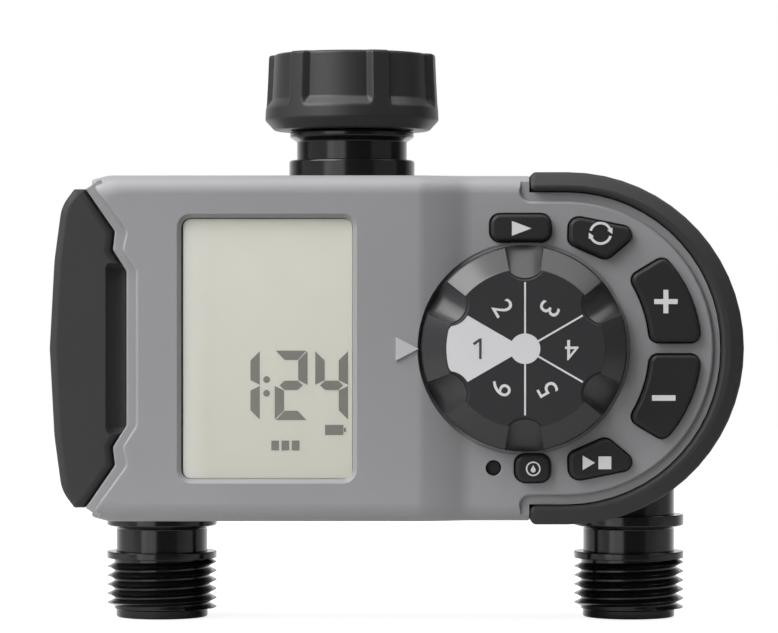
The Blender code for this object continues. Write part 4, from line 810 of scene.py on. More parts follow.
def dial_seat():
    well, hole = [disc(DIAL_X, MID_Z, radius) for radius in (WELL_R, SHAFT_HOLE_R)]
    return lofted("dial_seat", [(well, FACE_Y - WALL), (well, PANEL_Y + FIT), (hole, PANEL_Y + FIT),
                                (hole, PANEL_Y + 2 * WALL)])


print("openings:", len(KEYS), "keys, a window, a reset hole and the dial's seat")

# %% Front housing
OUTLET_XS = {"left": -0.0467, "right": 0.0680}
INLET_HOLE_R, OUTLET_HOLE_R, OUTLET_HOLE_TOP = 0.0125, 0.0115, -0.094
WELL_WALL_R = 0.0270
LIP_FRONT = FACE_Y + 0.0012
LIP_EDGE = ((0.0006, 0.0), (0.0002, 0.0002), (0.0, 0.0006))     # inset and depth
DRAWER_SLOT, SLOT_Y = rectangle(-0.0552, MID_Z, 0.0144, 0.0586), (-0.0326, -0.0153)


def water_holes():
    """Round openings for the inlet and both outlets, shared by the two shells."""
    holes = [rod("Z", (0, 0), INLET_HOLE_R, MID_Z + HALF - 2 * WALL, MID_Z + HALF + WALL)]
    for x in OUTLET_XS.values():
        holes.append(rod("Z", (x, 0), OUTLET_HOLE_R, MID_Z - HALF - WALL, OUTLET_HOLE_TOP))
    return solid("water_holes", holes)


front = lofted("front_shell", block_layers(FACE_Y, SHELF_Y + WALL, ROLL, 0.0, 12), GREY_SHELL)
combine(front, lofted("skirt", [(skirt_outline(), SHELF_Y), (skirt_outline(), -FIT / 2)]), "UNION")
lip = [(lip_outline(inset), LIP_FRONT + depth) for inset, depth in LIP_EDGE]
combine(front, lofted("door_lip", lip + [(lip_outline(), SHELF_Y + WALL / 2)]), "UNION")
combine(front, panel_cutter(0.0))
combine(front, ledge_cutter())
room = lofted("front_room", block_layers(FACE_Y + WALL, WALL, ROLL - WALL, -WALL, 4))
combine(room, panel_cutter(WALL))
well_wall = rod("Y", (DIAL_X, MID_Z), WELL_WALL_R, FACE_Y, PANEL_Y + WALL, 96)
combine(room, solid("well_wall", [well_wall]))
combine(front, room)
skirt_room = grown(skirt_outline(), -WALL)
combine(front, lofted("skirt_room", [(skirt_room, SHELF_Y + WALL), (skirt_room, WALL)]))
combine(front, front_openings())
combine(front, dial_seat())
combine(front, lofted("drawer_slot", [(DRAWER_SLOT, y) for y in SLOT_Y]))
combine(front, water_holes())
dress(front, "housing", "housing_grey", "front_housing")

# %% [markdown]
# ## Rear housing
# The rear shell is a shallow tray with a wide rounded rim. It holds the screw posts, whose deep round
# mouths are all that shows of them from behind.

# %% Rear housing
SCREWS = ((-0.0280, -0.0362), (0.0270, -0.0362), (-0.0200, -0.1074), (0.0300, -0.1074),
          (0.0865, -0.0718), (-0.0635, -0.0718))
POST_R, SCREW_HOLE_R, HEAD_BORE_R, BORE_MOUTH_R = 0.0034, 0.0016, 0.0029, 0.0033
HEAD_SEAT_Y, BORE_FLARE = 0.0035, 0.0004
RIM_R = 0.0040
rear = lofted("rear_shell", rounded(skirt_outline(), REAR_Y, FIT / 2, RIM_R, 9), GREY_SHELL)
rear_room = rounded(grown(skirt_outline(), -WALL), REAR_Y - WALL, -WALL, RIM_R - WALL, 3)
combine(rear, lofted("rear_room", rear_room))
posts, bores = [], []
for screw_spot in SCREWS:
    posts.append(rod("Y", screw_spot, POST_R, FIT, REAR_Y - WALL / 2, 32))
    hole, bore, mouth = [disc(*screw_spot, radius) for radius in (SCREW_HOLE_R, HEAD_BORE_R, BORE_MOUTH_R)]
    bores.append(loft([(hole, -WALL), (hole, HEAD_SEAT_Y), (bore, HEAD_SEAT_Y), (bore, REAR_Y - BORE_FLARE),
                       (mouth, REAR_Y), (mouth, REAR_Y + WALL)]))
combine(rear, solid("posts", posts), "UNION")
combine(rear, solid("bores", bores))
combine(rear, water_holes())
dress(rear, "housing", "housing_grey", "rear_housing")

# %% [markdown]
# ## Bumper and battery door
# Both are black and soft to the touch. The bumper hugs the round end and stands a little in front of the
# control panel, with rounded ends. The door is the front of the battery drawer: a bowed left side, a
# pointed top and bottom, and a finger grip scooped out of its inner edge.

# %% Bumper
def bumper_outline(outer, inner):
    """The bumper, drawn in on its outside and its inside."""
    wide, narrow = BUMPER_R - outer, BUMPER_R - BUMPER_THICK + inner
    high, low = wide - 0.0003, narrow + BUMPER_THIN
    end = BUMPER_X + inner
    corner = min(0.0014, 0.4 * (high - low))
    upper = [(END_X + wide, MID_Z + high, high), (end, MID_Z + high, corner)]
    lower = [(end, MID_Z + low, corner), (END_X + narrow, MID_Z + low, narrow)]
    return upper + lower + mirrored(lower) + mirrored(upper)


# Depth, and how far the outside and the inside are drawn in there.
BUMPER_PROFILE = ((0.0, 0.0034, 0.0009), (0.0002, 0.0030, 0.00043), (0.00045, 0.0026, 0.0002),
                  (0.0009, 0.0018, 0.0), (0.0015, 0.0008, 0.0), (0.0018, 0.0004, 0.0),
                  (0.0022, 0.00014, 0.0), (0.0027, 0.0, 0.0))
bumper_front = PANEL_Y - 0.0010
bumper_back = SHELF_Y - FIT
layers = [(bumper_outline(outer, inner), bumper_front + depth) for depth, outer, inner in BUMPER_PROFILE]
layers += [(bumper_outline(0.0, 0.0), bumper_back - 0.0005), (bumper_outline(0.0004, 0.0004), bumper_back)]
bumper = lofted("soft_bumper", layers, SOFT_BLACK)
dress(bumper, "housing", "bumper_rubber", "side_bumper")

# %% Battery door
DOOR_Y = -0.0421
DOOR_EDGE, DOOR_BACK, DOOR_BACK_EDGE = 0.0020, SHELF_Y - FIT, 0.0004
GRIP_HALF, GRIP_END = 0.0200, 0.0012
upper = [(-0.0648, 0.0374, 0.0006), (-0.0678, 0.0334, 0.0090), (-0.0695, 0.0206, 0.03)]
half_outline = [(x, z, 0.0) for x, z in DOOR_SIDE] + upper
half_outline = [(x, MID_Z + z, radius) for x, z, radius in half_outline]
door_outline = half_outline + [(-0.0706, MID_Z, 0.0)] + mirrored(half_outline)
layers = rounded(door_outline, DOOR_Y, DOOR_BACK - DOOR_BACK_EDGE, DOOR_EDGE, 9)
layers.append((grown(door_outline, -DOOR_BACK_EDGE), DOOR_BACK))
door = lofted("drawer_front", layers, SOFT_BLACK)
curve = [(-0.0575, -0.0005), (-0.0572, 0.0006), (-0.0564, 0.0018), (-0.0552, 0.0026), (-0.0540, 0.0030)]
profile = curve + [(-0.0500, 0.0030), (-0.0500, -0.0040), (-0.0575, -0.0040)]
rows = []
for share, drawn_in in ((-1.0, GRIP_END), (-0.93, 0.0), (0.93, 0.0), (1.0, GRIP_END)):
    rows.append([(x, DOOR_Y + y - (drawn_in if y > 0 else 0), MID_Z + share * GRIP_HALF) for x, y in profile])
combine(door, solid("grip_scoop", [rows]))
pockets = []
for way in (1, -1):
    corners = rectangle(-0.0590, MID_Z + way * 0.01645, 0.0154, 0.0209, 0.0010)
    pockets.append(loft([(corners, DOOR_Y + 0.0055), (corners, SHELF_Y - 0.0028)]))
combine(door, solid("door_pockets", pockets))
dress(door, "drawer", "bumper_rubber", "battery_door")

# %% [markdown]
# ## Display
# A thin clear lens fills the window. Just behind it lies the pale panel with dark segments. The time
# shown is any time, and plain marks stand below it. The segments are thin plates, each with mitred ends
# that leave a hair gap to the next, just as they are etched on the real glass.

# %% Display lens
LCD_Y, LCD_BACK = FACE_Y + 0.0017, -0.0375
LENS_Y, LENS_EDGE, LENS_GAP = FACE_Y + 0.0010, 0.0002, 0.0001
lens_outline = rectangle(-0.01935, MID_Z - 0.00005, 0.0397, 0.0609, 0.0019)
layers = [(grown(lens_outline, -LENS_EDGE), LENS_Y), (lens_outline, LENS_Y + LENS_EDGE),
          (lens_outline, LCD_Y - LENS_GAP)]
lens = lofted("window_lens", layers, LENS)
dress(lens, "housing", "clear_lens", "display_window")
glass = lofted("lcd_face", [(lens_outline, LCD_Y), (lens_outline, LCD_BACK)], LCD)
dress(glass, "housing", "lcd_glass", "lcd_panel")

# %% Display segments
DIGITS = dict(low=-0.0886, width=0.0077, height=0.0163, thick=0.0022)
MITRE_GAP = 0.00012
COLON_X, COLON_R = -0.0196, 0.0008
SEGMENT_Y = (LCD_Y - 0.00006, LCD_Y - 0.00002)


def bar(x, z, width, height):
    return [corner[:2] for corner in rectangle(x, z, width, height)]


def dot(x, z, radius, count=20):
    return arc(x, z, radius, full_turn(count))


def digit(number, left, low, width, height, thick):
    """The lit segments of one seven-segment digit."""
    right, high, waist = left + width, low + height, low + height / 2
    gap, half = MITRE_GAP, thick / 2
    in_left, in_right = left + thick, right - thick

    def flat(outer, inner):
        return [(left + 2 * gap, outer), (right - 2 * gap, outer), (in_right - gap, inner),
                (in_left + gap, inner)]

    def upright(outer, inner, start, end, start_cut, end_cut):
        return [(outer, start + gap), (inner, start_cut + gap), (inner, end_cut - gap), (outer, end - gap)]

    upper = (waist, high, waist + half, high - thick)
    lower = (low, waist, low + thick, waist - half)
    segments = {
        "a": flat(high, high - thick),
        "d": flat(low, low + thick),
        "g": [(left + half, waist), (in_left + gap, waist + half), (in_right - gap, waist + half),
              (right - half, waist), (in_right - gap, waist - half), (in_left + gap, waist - half)],
        "f": upright(left, in_left, *upper),
        "b": upright(right, in_right, *upper),
        "e": upright(left, in_left, *lower),
        "c": upright(right, in_right, *lower),
    }
    return [segments[name] for name in {1: "bc", 2: "abged", 4: "fgbc"}[number]]


lit = digit(1, -0.0289, **DIGITS) + digit(2, -0.0177, **DIGITS) + digit(4, -0.0082, **DIGITS)
lit += [dot(COLON_X, z, COLON_R) for z in (-0.0791, -0.0823)]
lit += [bar(x, -0.09455, 0.0018, 0.0023) for x in (-0.0176, -0.0152, -0.0128)]
lit += [bar(-0.00375, -0.0909, 0.0043, 0.0024), bar(-0.00125, -0.0909, 0.0005, 0.0010)]
segments = plates("lcd_segments", lit, *SEGMENT_Y, SEGMENT)
dress(segments, "housing", "lcd_glass")

# %% [markdown]
# ## Keys
# The keys are rubber with rounded edges, and a flange behind the panel keeps them in. Their signs are
# printed in white: an arrow, a round trip, a plus, a minus, a start and stop pair and a drop in a ring.
# Each print is a thin plate that moves with its key.

# %% Keys
KEY_FRONT = PANEL_Y - 0.0024
KEY_EDGE, KEY_FLANGE, KEY_SET_BACK = 0.0009, 0.0007, 0.0001
FLANGE_Y = (-0.0373, -0.0365)
for name, corners in KEYS.items():
    layers = rounded(corners, KEY_FRONT + KEY_SET_BACK, FLANGE_Y[0], KEY_EDGE, 6)
    layers += [(grown(corners, KEY_FLANGE), y) for y in FLANGE_Y]
    key = lofted(name + "_cap", layers, KEY_BLACK)
    dress(key, name, "key_rubber", name + "_key")

# %% Key signs
SIGN_Y = (KEY_FRONT + 0.00006, KEY_FRONT + 0.00014)


def band(x, z, radius, width, start, end):
    """Part of a ring, from one angle to another in degrees."""
    angles = spread(math.radians(start), math.radians(end), 24)
    return arc(x, z, radius + width / 2, angles) + arc(x, z, radius - width / 2, angles[::-1])


def arrowhead(x, z, radius, angle, size):
    """A triangle at the start of a band, pointing clockwise."""
    out = Vector((math.cos(math.radians(angle)), math.sin(math.radians(angle))))
    along = Vector((out.y, -out.x))
    tip = Vector((x, z)) + out * radius
    return [tuple(tip - out * size * 0.7), tuple(tip + out * size * 0.7), tuple(tip + along * size * 1.3)]


def drop(x, z, radius):
    """A water drop with its point at the top."""
    return arc(x, z, radius, spread(math.radians(150), math.radians(390), 16)) + [(x, z + radius * 2.1)]


def round_trip(x, z, radius):
    """Two arrows that chase each other round a ring."""
    starts = (25, 205)
    bands = [band(x, z, radius, 0.0006, start, start + 140) for start in starts]
    return bands + [arrowhead(x, z, radius, start, 0.0010) for start in starts]


manual_x, manual_z = END_X + 0.0068, MID_Z - 0.0268
rain_x, rain_z = 0.0429, -0.1000
plus_x, plus_z = 0.0740, -0.0608
SIGNS = {
    "arrow": [[(0.0379, -0.0454), (0.0425, -0.04365), (0.0379, -0.0419)]],
    "station": round_trip(END_X + 0.0078, MID_Z + 0.0270, 0.0024),
    "plus": [bar(plus_x, plus_z, 0.0055, 0.00118)]
            + [bar(plus_x, plus_z + rise, 0.00118, 0.00216) for rise in (0.00167, -0.00167)],
    "minus": [bar(0.0735, -0.0834, 0.0055, 0.0013)],
    "manual": [[(manual_x - 0.0032, manual_z - 0.0017), (manual_x - 0.0003, manual_z),
                (manual_x - 0.0032, manual_z + 0.0017)],
               bar(manual_x + 0.0020, manual_z, 0.0030, 0.0030)],
    "rain_delay": [band(rain_x, rain_z, 0.00155, 0.00034, start, start + 180) for start in (0, 180)]
                  + [drop(rain_x, rain_z - 0.0003, 0.00058)],
}
for name, shapes in SIGNS.items():
    sign = plates(name + "_sign", shapes, *SIGN_Y, WHITE_INK)
    dress(sign, name, "key_rubber")

# %% [markdown]
# ## Dial
# The dial is a low cone with six finger scallops that slope down to its rim, and a printed face on top:
# a pale hub, hair lines between the six sectors and one pale sector, which stands for the running
# position. A number in each sector names it. The lines repeat round the hub, so Geometry Nodes place
# them.

# %% Dial body
SCALLOP_WIDE, SCALLOP_DEEP, SCALLOP_WIDENING = 0.0047, 0.0032, 0.09
SCALLOP_SLOPE = math.radians(44)
SCALLOP_START, SCALLOP_END = -0.0010, 0.0140
SCALLOP_NOSE, SCALLOP_SIDES = 0.0161, 48
FACE_R, FACE_FRONT, FACE_BACK = 0.0185, -0.04846, -0.0479
FACE_MARGIN = 0.00025    # the face stops this far from the scallops
DIAL_SPOT, DIAL_COLUMNS = (DIAL_X, MID_Z), 144


def scallops(margin):
    """Six round cutters that slope from the face down to the rim and widen a little on the way."""
    cutters = []
    back = Vector((0, 1, 0))
    deep = SCALLOP_DEEP + margin
    for i in range(6):
        way = math.radians(30 + 60 * i)
        out = Vector((math.cos(way), 0, math.sin(way)))
        across = Vector((-out.z, 0, out.x))
        along = out * math.cos(SCALLOP_SLOPE) + back * math.sin(SCALLOP_SLOPE)
        away = out * math.sin(SCALLOP_SLOPE) - back * math.cos(SCALLOP_SLOPE)
        nose = Vector((DIAL_X, FACE_FRONT, MID_Z)) + out * SCALLOP_NOSE
        rows = []
        for reach in (SCALLOP_START, SCALLOP_END):
            wide = SCALLOP_WIDE + SCALLOP_WIDENING * reach + margin
            centre = nose + along * reach + away * SCALLOP_DEEP
            angles = [2 * math.pi * (k + 0.5) / SCALLOP_SIDES for k in range(SCALLOP_SIDES)]
            rows.append([centre + across * wide * math.cos(a) + away * deep * math.sin(a) for a in angles])
        cutters.append(rows)
    return solid("scallops", cutters)


dial_profile = [(0.0170, -0.0481), (0.0184, -0.0481), (0.01855, -0.04805), (0.0188, -0.04783),
                (0.0236, -0.04358), (0.02385, -0.04334), (0.0241, -0.0430), (DIAL_R, -0.0427),
                (DIAL_R, -0.0402), (0.0240, -0.0400), (0.0198, -0.0400), (0.0198, -0.0418),
                (0.0060, -0.0418), (0.0060, -0.0400), (0.00315, -0.0400), (0.00315, -0.0444)]
dial = solid("dial_body", [revolve(dial_profile, "Y", DIAL_SPOT, DIAL_COLUMNS)], DIAL_BLACK)
combine(dial, scallops(0.0))
soften = dial.modifiers.new("soften", "BEVEL")
soften.width = 0.00025
soften.segments = 2
soften.limit_method = "ANGLE"
soften.angle_limit = math.radians(38)
dress(dial, "dial", "black_plastic", "selector_dial")
dial_face = rod("Y", DIAL_SPOT, FACE_R, FACE_FRONT, FACE_BACK, DIAL_COLUMNS)
dial_face = solid("dial_disc", [dial_face], FACE_BLACK)
combine(dial_face, scallops(FACE_MARGIN))
dress(dial_face, "dial", "dial_print", "dial_face")

# %% Geometry Nodes helpers
def socket_id(tree, name):
    return next(item.identifier for item in tree.interface.items_tree if item.name == name)


def with_nodes(name, tree, inputs, points=((0, 0, 0),)):
    """Runs a node tree on a few points and keeps the result as a plain mesh at the origin."""
    mesh = bpy.data.meshes.new(name)
    mesh.from_pydata(list(points), [], [])
    made = added(name, mesh)
    step = made.modifiers.new(name, "NODES")
    step.node_group = tree
    for key, value in inputs.items():
        step[socket_id(tree, key)] = value
    settle(made)
    smooth(made)
    return made


class Tree(Nodes):
    """A Geometry Nodes tree with named inputs."""

    def __init__(self, name, **inputs):
        super().__init__(bpy.data.node_groups.new(name, "GeometryNodeTree"))
        self.tree.interface.new_socket("Geometry", in_out="INPUT", socket_type="NodeSocketGeometry")
        for label, kind in inputs.items():
            self.tree.interface.new_socket(label, in_out="INPUT", socket_type="NodeSocket" + kind)
        self.tree.interface.new_socket("Geometry", in_out="OUTPUT", socket_type="NodeSocketGeometry")
        self.entry = self.tree.nodes.new("NodeGroupInput")
        self.exit = self.tree.nodes.new("NodeGroupOutput")

    def given(self, label):
        return Wire(self.tree, self.entry.outputs[label])

    def vector(self, **parts):
        return self.node("ShaderNodeCombineXYZ", **parts)

    def moved(self, geometry, **parts):
        return self.node("GeometryNodeTransform", Geometry=geometry, Translation=self.vector(**parts))

    def on_points(self, geometry):
        points = self.given("Geometry")
        return self.node("GeometryNodeInstanceOnPoints", Points=points, Instance=geometry)

    def wire(self, curve, resolution):
        """A round wire along a curve, as thick as the input Wire says."""
        radius = self.given("Wire")
        section = self.node("GeometryNodeCurvePrimitiveCircle", Resolution=resolution, Radius=radius)
        return self.node("GeometryNodeCurveToMesh", Curve=curve, Profile_Curve=section, Fill_Caps=True)

    def blend(self, operation, first, second):
        """Joins two solids, or cuts the second out of the first."""
        made = self.tree.nodes.new("GeometryNodeMeshBoolean")
        made.operation = operation
        made.solver = "EXACT"
        mesh = made.inputs["Mesh 1"] if operation == "DIFFERENCE" else made.inputs["Mesh 2"]
        self.tree.links.new(first.socket, mesh)
        self.tree.links.new(second.socket, made.inputs["Mesh 2"])
        return Wire(self.tree, made.outputs[0])

    def end(self, geometry, finish):
        real = self.node("GeometryNodeRealizeInstances", Geometry=geometry)
        made = self.node("GeometryNodeSetMaterial", Geometry=real)
        made.socket.node.inputs["Material"].default_value = finish
        self.tree.links.new(made.socket, self.exit.inputs[0])
        return self.tree


print("node tree helpers ready")

# %% Dial hair lines
def hair_line_tree():
    """One bar for each point, turned round the hub by its place in the row."""
    tree = Tree("hair_lines", Reach="Float", Hub="Float", Width="Float", Thick="Float", Centre="Vector")
    reach, hub = tree.given("Reach"), tree.given("Hub")
    size = tree.vector(X=reach - hub, Y=tree.given("Thick"), Z=tree.given("Width"))
    strip = tree.moved(tree.node("GeometryNodeMeshCube", Size=size), X=(reach + hub) * 0.5)
    order = tree.node("GeometryNodeInputIndex")
    turn = tree.vector(Y=order * math.radians(60) - math.radians(90))
    points, centre = tree.given("Geometry"), tree.given("Centre")
    spots = tree.node("GeometryNodeSetPosition", Geometry=points, Position=centre)
    lines = tree.node("GeometryNodeInstanceOnPoints", Points=spots, Instance=strip, Rotation=turn)
    return tree.end(lines, WHITE_INK)


PRINT_FRONT, PRINT_MID = -0.04850, -0.04848
hair_lines = with_nodes("dial_lines", hair_line_tree(), {
    "Reach": 0.0155, "Hub": 0.0035, "Width": 0.00042, "Thick": FACE_FRONT - PRINT_FRONT,
    "Centre": (DIAL_X, (PRINT_FRONT + FACE_FRONT) / 2, MID_Z)}, [(0, 0, 0)] * 4)
dress(hair_lines, "dial", "dial_print")

# %% Dial print
SECTOR_R, SECTOR_MARGIN = 0.0183, 0.00045
HUB_R = 0.00355
NUMBER_R, NUMBER_SIZE, NUMBER_THICK = 0.0108, 0.0068, 0.00002
NUMBERS = ((2, 120), (3, 60), (4, 0), (5, 300), (6, 240))     # number and the direction of its sector
ONE = ((-0.0014, 0.0013), (-0.0010, 0.0008), (0.0001, 0.0016), (0.0001, -0.0024), (0.0007, -0.0024),
       (0.0007, 0.0024), (0.0002, 0.0024))


def sector_shape():
    """The pale sector towards the pointer: it stops at the scallops on both sides."""
    way = math.radians(150)
    out = Vector((math.cos(way), math.sin(way)))
    across = Vector((-out.y, out.x))
    wide, tall = SCALLOP_WIDE + SECTOR_MARGIN, (SCALLOP_DEEP + SECTOR_MARGIN) / math.sin(SCALLOP_SLOPE)
    nose = SCALLOP_NOSE - SECTOR_MARGIN / math.sin(SCALLOP_SLOPE)
    edge = [out * (nose + tall * (1 - math.cos(a))) + across * wide * math.sin(a)
            for a in spread(0, math.pi / 2, 12)]
    edge = [tuple(p) for p in edge if p.length < SECTOR_R]
    first = math.atan2(edge[-1][1], edge[-1][0])
    rim = arc(0, 0, SECTOR_R, spread(first, 2 * math.pi - first, 12)[1:-1])
    shape = [(0.0, 0.0)] + edge + rim + [(x, -z) for x, z in reversed(edge)]
    return [(DIAL_X + x, MID_Z + z) for x, z in shape]


def number_mesh(text):
    """A numeral as a flat mesh, centred on the origin of the XZ plane and facing the front."""
    curve = bpy.data.curves.new("numeral", "FONT")
    curve.body = text
    curve.size = NUMBER_SIZE
    curve.align_x = "CENTER"
    curve.align_y = "CENTER"
    curve.extrude = NUMBER_THICK
    made = added("numeral", curve)
    mesh = baked(made)
    bpy.data.objects.remove(made, do_unlink=True)
    mesh.transform(Matrix.Rotation(math.pi / 2, 4, "X"))
    return mesh


pale_print = plates("dial_sector", [sector_shape()], PRINT_MID, FACE_FRONT, SECTOR_INK)
dress(pale_print, "dial", "dial_print")
hub = plates("dial_hub", [dot(*DIAL_SPOT, HUB_R, 48)], PRINT_FRONT, PRINT_MID, SECTOR_INK)
dress(hub, "dial", "dial_print")
numbers = bmesh.new()
for number, degrees in NUMBERS:
    mesh = number_mesh(str(number))
    way = math.radians(degrees)
    spot = Vector((DIAL_X, PRINT_MID, MID_Z)) + Vector((math.cos(way), 0, math.sin(way))) * NUMBER_R
    mesh.transform(Matrix.Translation(spot) @ Matrix.Rotation(math.pi - way, 4, "Y"))
    numbers.from_mesh(mesh)
white_numbers = piece("dial_numbers", numbers, WHITE_INK)
dress(white_numbers, "dial", "dial_print")
one = [(DIAL_X - NUMBER_R + x, MID_Z + z) for x, z in ONE]
dark_number = plates("dial_number_one", [one], PRINT_FRONT, PRINT_MID, BLACK_INK)
dress(dark_number, "dial", "dial_print")

# %% Pointer beside the dial
pointer = [(0.0107, -0.0691, 0.0), (0.0107, -0.0747, 0.0), (0.0161, -0.0719, 0.0)]
raised = [(0.01080, -0.06926, 0.0), (0.01080, -0.07454, 0.0), (0.01590, -0.0719, 0.0)]
layers = [(raised, FACE_Y - 0.0005), (pointer, FACE_Y - 0.0003), (pointer, FACE_Y + 0.0006)]
mark = lofted("pointer_mark", layers, POINTER_GREY)
dress(mark, "housing", "housing_grey")

# %% [markdown]
# ## Turned pieces
# The hose nut, the inlet and both outlets are turned shapes, and the nut and the outlets have real pipe
# threads. A thread is a row of points that climbs by one pitch per turn, so its rows are wound round the
# axis and stitched at the seam.
# The nut also has six recessed grips between flush ribs: a function says how deep the surface lies at
# each angle and height, which gives soft corners without any Boolean step.

# %% Turning with threads
PITCH = 0.002209
FLANK = ((0.0, 0.0), (0.20, 0.5), (0.36, 0.92), (0.42, 1.0), (0.48, 0.92), (0.63, 0.5), (0.82, 0.0))


def eased(corners, steps=4):
    """A profile from (radius, height, easing) corners, each rounded off by its easing."""
    points = []
    for i, (radius, height, ease) in enumerate(corners):
        here = Vector((radius, height))
        if not ease:
            points.append(tuple(here))
            continue
        start, end = [here + (Vector(corners[j][:2]) - here).normalized() * ease
                      for j in (i - 1, (i + 1) % len(corners))]
        shares = [k / steps for k in range(steps + 1)]
        points += [tuple(start.lerp(here, t).lerp(here.lerp(end, t), t)) for t in shares]
    return points


def wind(bm, vertex, above, angles, start, turns, base, crest, way, ends, limits):
    """Winds a thread after the row above it, and returns a function that takes the row which follows.

    The thread grows out of the tube and fades back into it at its ends, counted in turns.
    """
    count, end = len(FLANK), len(angles) - 1
    last = count * turns
    rows = []
    for k in range(last + 1):
        part, rise = FLANK[k % count]
        row = []
        for j, angle in enumerate(angles):
            sweep = k // count + j / len(angles)
            fade = max(0.0, min(1.0, 4 * (sweep - ends[0]), 4 * (ends[1] - sweep)))
            height = start + way * PITCH * (sweep + part)
            kept = min(max(height, limits[0]), limits[1])
            rise_here = rise * fade if height == kept else 0.0
            row.append(vertex(base + (crest - base) * rise_here, kept, angle))
        rows.append(row)
    for j in range(end):
        bm.faces.new((above[j], above[j + 1], rows[0][j + 1], rows[0][j]))
        for k in range(last):
            bm.faces.new((rows[k][j], rows[k][j + 1], rows[k + 1][j + 1], rows[k + 1][j]))
    for k in range(last - count):
        bm.faces.new((rows[k][end], rows[k + count][0], rows[k + count + 1][0], rows[k + 1][end]))
    bm.faces.new([above[end], above[0]] + [rows[k][0] for k in range(count + 1)] + [rows[0][end]])

    def follow(below):
        for j in range(end):
            bm.faces.new((rows[last][j], rows[last][j + 1], below[j + 1], below[j]))
        seam = [rows[last - count + k][end] for k in range(count + 1)]
        bm.faces.new([below[end], below[0], rows[last][0]] + seam)

    return follow


def turned(name, profile, finish, spot=(0.0, 0.0), columns=96, shape=None, way=1):
    """A bored solid about an upright axis, from (radius, height) points and the settings of threads.

    Its columns run anticlockwise from the back seen from above, or clockwise where way is -1.
    """
    bm = bmesh.new()
    angles = [math.pi / 2 + way * 2 * math.pi * k / columns for k in range(columns)]

    def vertex(radius, height, angle):
        if shape:
            radius, height = shape(radius, height, angle)
        return bm.verts.new((spot[0] + radius * math.cos(angle), spot[1] + radius * math.sin(angle), height))

    above = first = None
    for item in profile:
        if isinstance(item, dict):
            above = wind(bm, vertex, above, angles, **item)
            continue
        row = [vertex(*item, angle) for angle in angles]
        if first is None:
            first = row
        elif callable(above):
            above(row)
        else:
            stitch(bm, above, row)
        above = row
    stitch(bm, above, first)
    return piece(name, bm, finish)


print("thread pitch", PITCH * 1000, "mm")

# %% Swivel nut
NUT_R = 0.0209
GRIP_DEPTH, GRIP_PITCH = 0.0014, math.radians(60)
GRIP_SIDE, GRIP_FOOT = 0.0011, 0.0022    # widths of the slopes round a pocket
GRIP_LOW = -0.0133
RIB_AT, RIB_HALF = math.radians(70), math.radians(5.5)
OUTSIDE_R, BAND_TOP = 0.0172, -0.0140    # only the outside above the lower band has grips


def grips(radius, height, angle):
    """Six pockets, open at the top, with sloping sides and a sloping foot."""
    if radius < OUTSIDE_R or height < BAND_TOP:
        return radius, height
    from_rib = (angle + RIB_AT + GRIP_PITCH / 2) % GRIP_PITCH - GRIP_PITCH / 2
    across = (abs(from_rib) - RIB_HALF) * NUT_R
    side = 1 - min(1.0, max(0.0, across / GRIP_SIDE))
    foot = 1 - min(1.0, max(0.0, (height - GRIP_LOW) / GRIP_FOOT))
    return radius - GRIP_DEPTH * max(0.0, 1 - math.hypot(side, foot)), height


nut_profile = eased([(0.0138, -0.0003, 0), (0.0141, 0.0, 0), (0.0205, 0.0, 0.0008), (0.0208, -0.0070, 0)])
nut_profile += [(0.0210 + 0.00014 * k / 8, -0.0108 - 0.0026 * k / 8) for k in range(9)]
nut_profile += eased([(0.02118, -0.0138, 0), (0.02129, -0.0162, 0.0004), (0.0190, -0.0187, 0.0005),
                      (0.0106, -0.0187, 0), (0.0106, -0.0144, 0), (0.0138, -0.0144, 0), (0.0138, -0.0118, 0)])
nut_thread = dict(start=-0.0115, turns=2, base=0.0138, crest=0.0124, way=1, ends=(0, 2),
                  limits=(-0.0118, -0.0046))
nut_profile += [nut_thread, (0.0138, -0.0046)]
nut = turned("hose_nut", nut_profile, SATIN_BLACK, columns=360, shape=grips)
dress(nut, "nut", "black_plastic", "swivel_nut")

# %% Inlet tailpiece
inlet = eased([(0.0080, -0.0118, 0), (0.0118, -0.0118, 0.0003), (0.0118, -0.0141, 0), (0.0102, -0.0141, 0),
               (0.0102, -0.0190, 0), (0.0152, -0.0190, 0.0005), (0.0152, -0.02035, 0.0004),
               (0.0135, -0.0215, 0.0003), (0.0135, -0.0260, 0), (0.0154, -0.0260, 0.0007),
               (0.0154, -0.0308, 0), (0.0122, -0.0308, 0), (0.0122, -0.0337, 0), (0.0096, -0.0337, 0),
               (0.0096, -0.0379, 0), (0.0086, -0.0379, 0), (0.0086, -0.0405, 0), (0.0096, -0.0405, 0),
               (0.0096, -0.0447, 0), (0.0074, -0.0447, 0), (0.0074, -0.0260, 0), (0.0080, -0.0260, 0)])
tailpiece = turned("inlet_neck", inlet, GLOSS_BLACK)
dress(tailpiece, "housing", "black_plastic", "inlet_tailpiece")

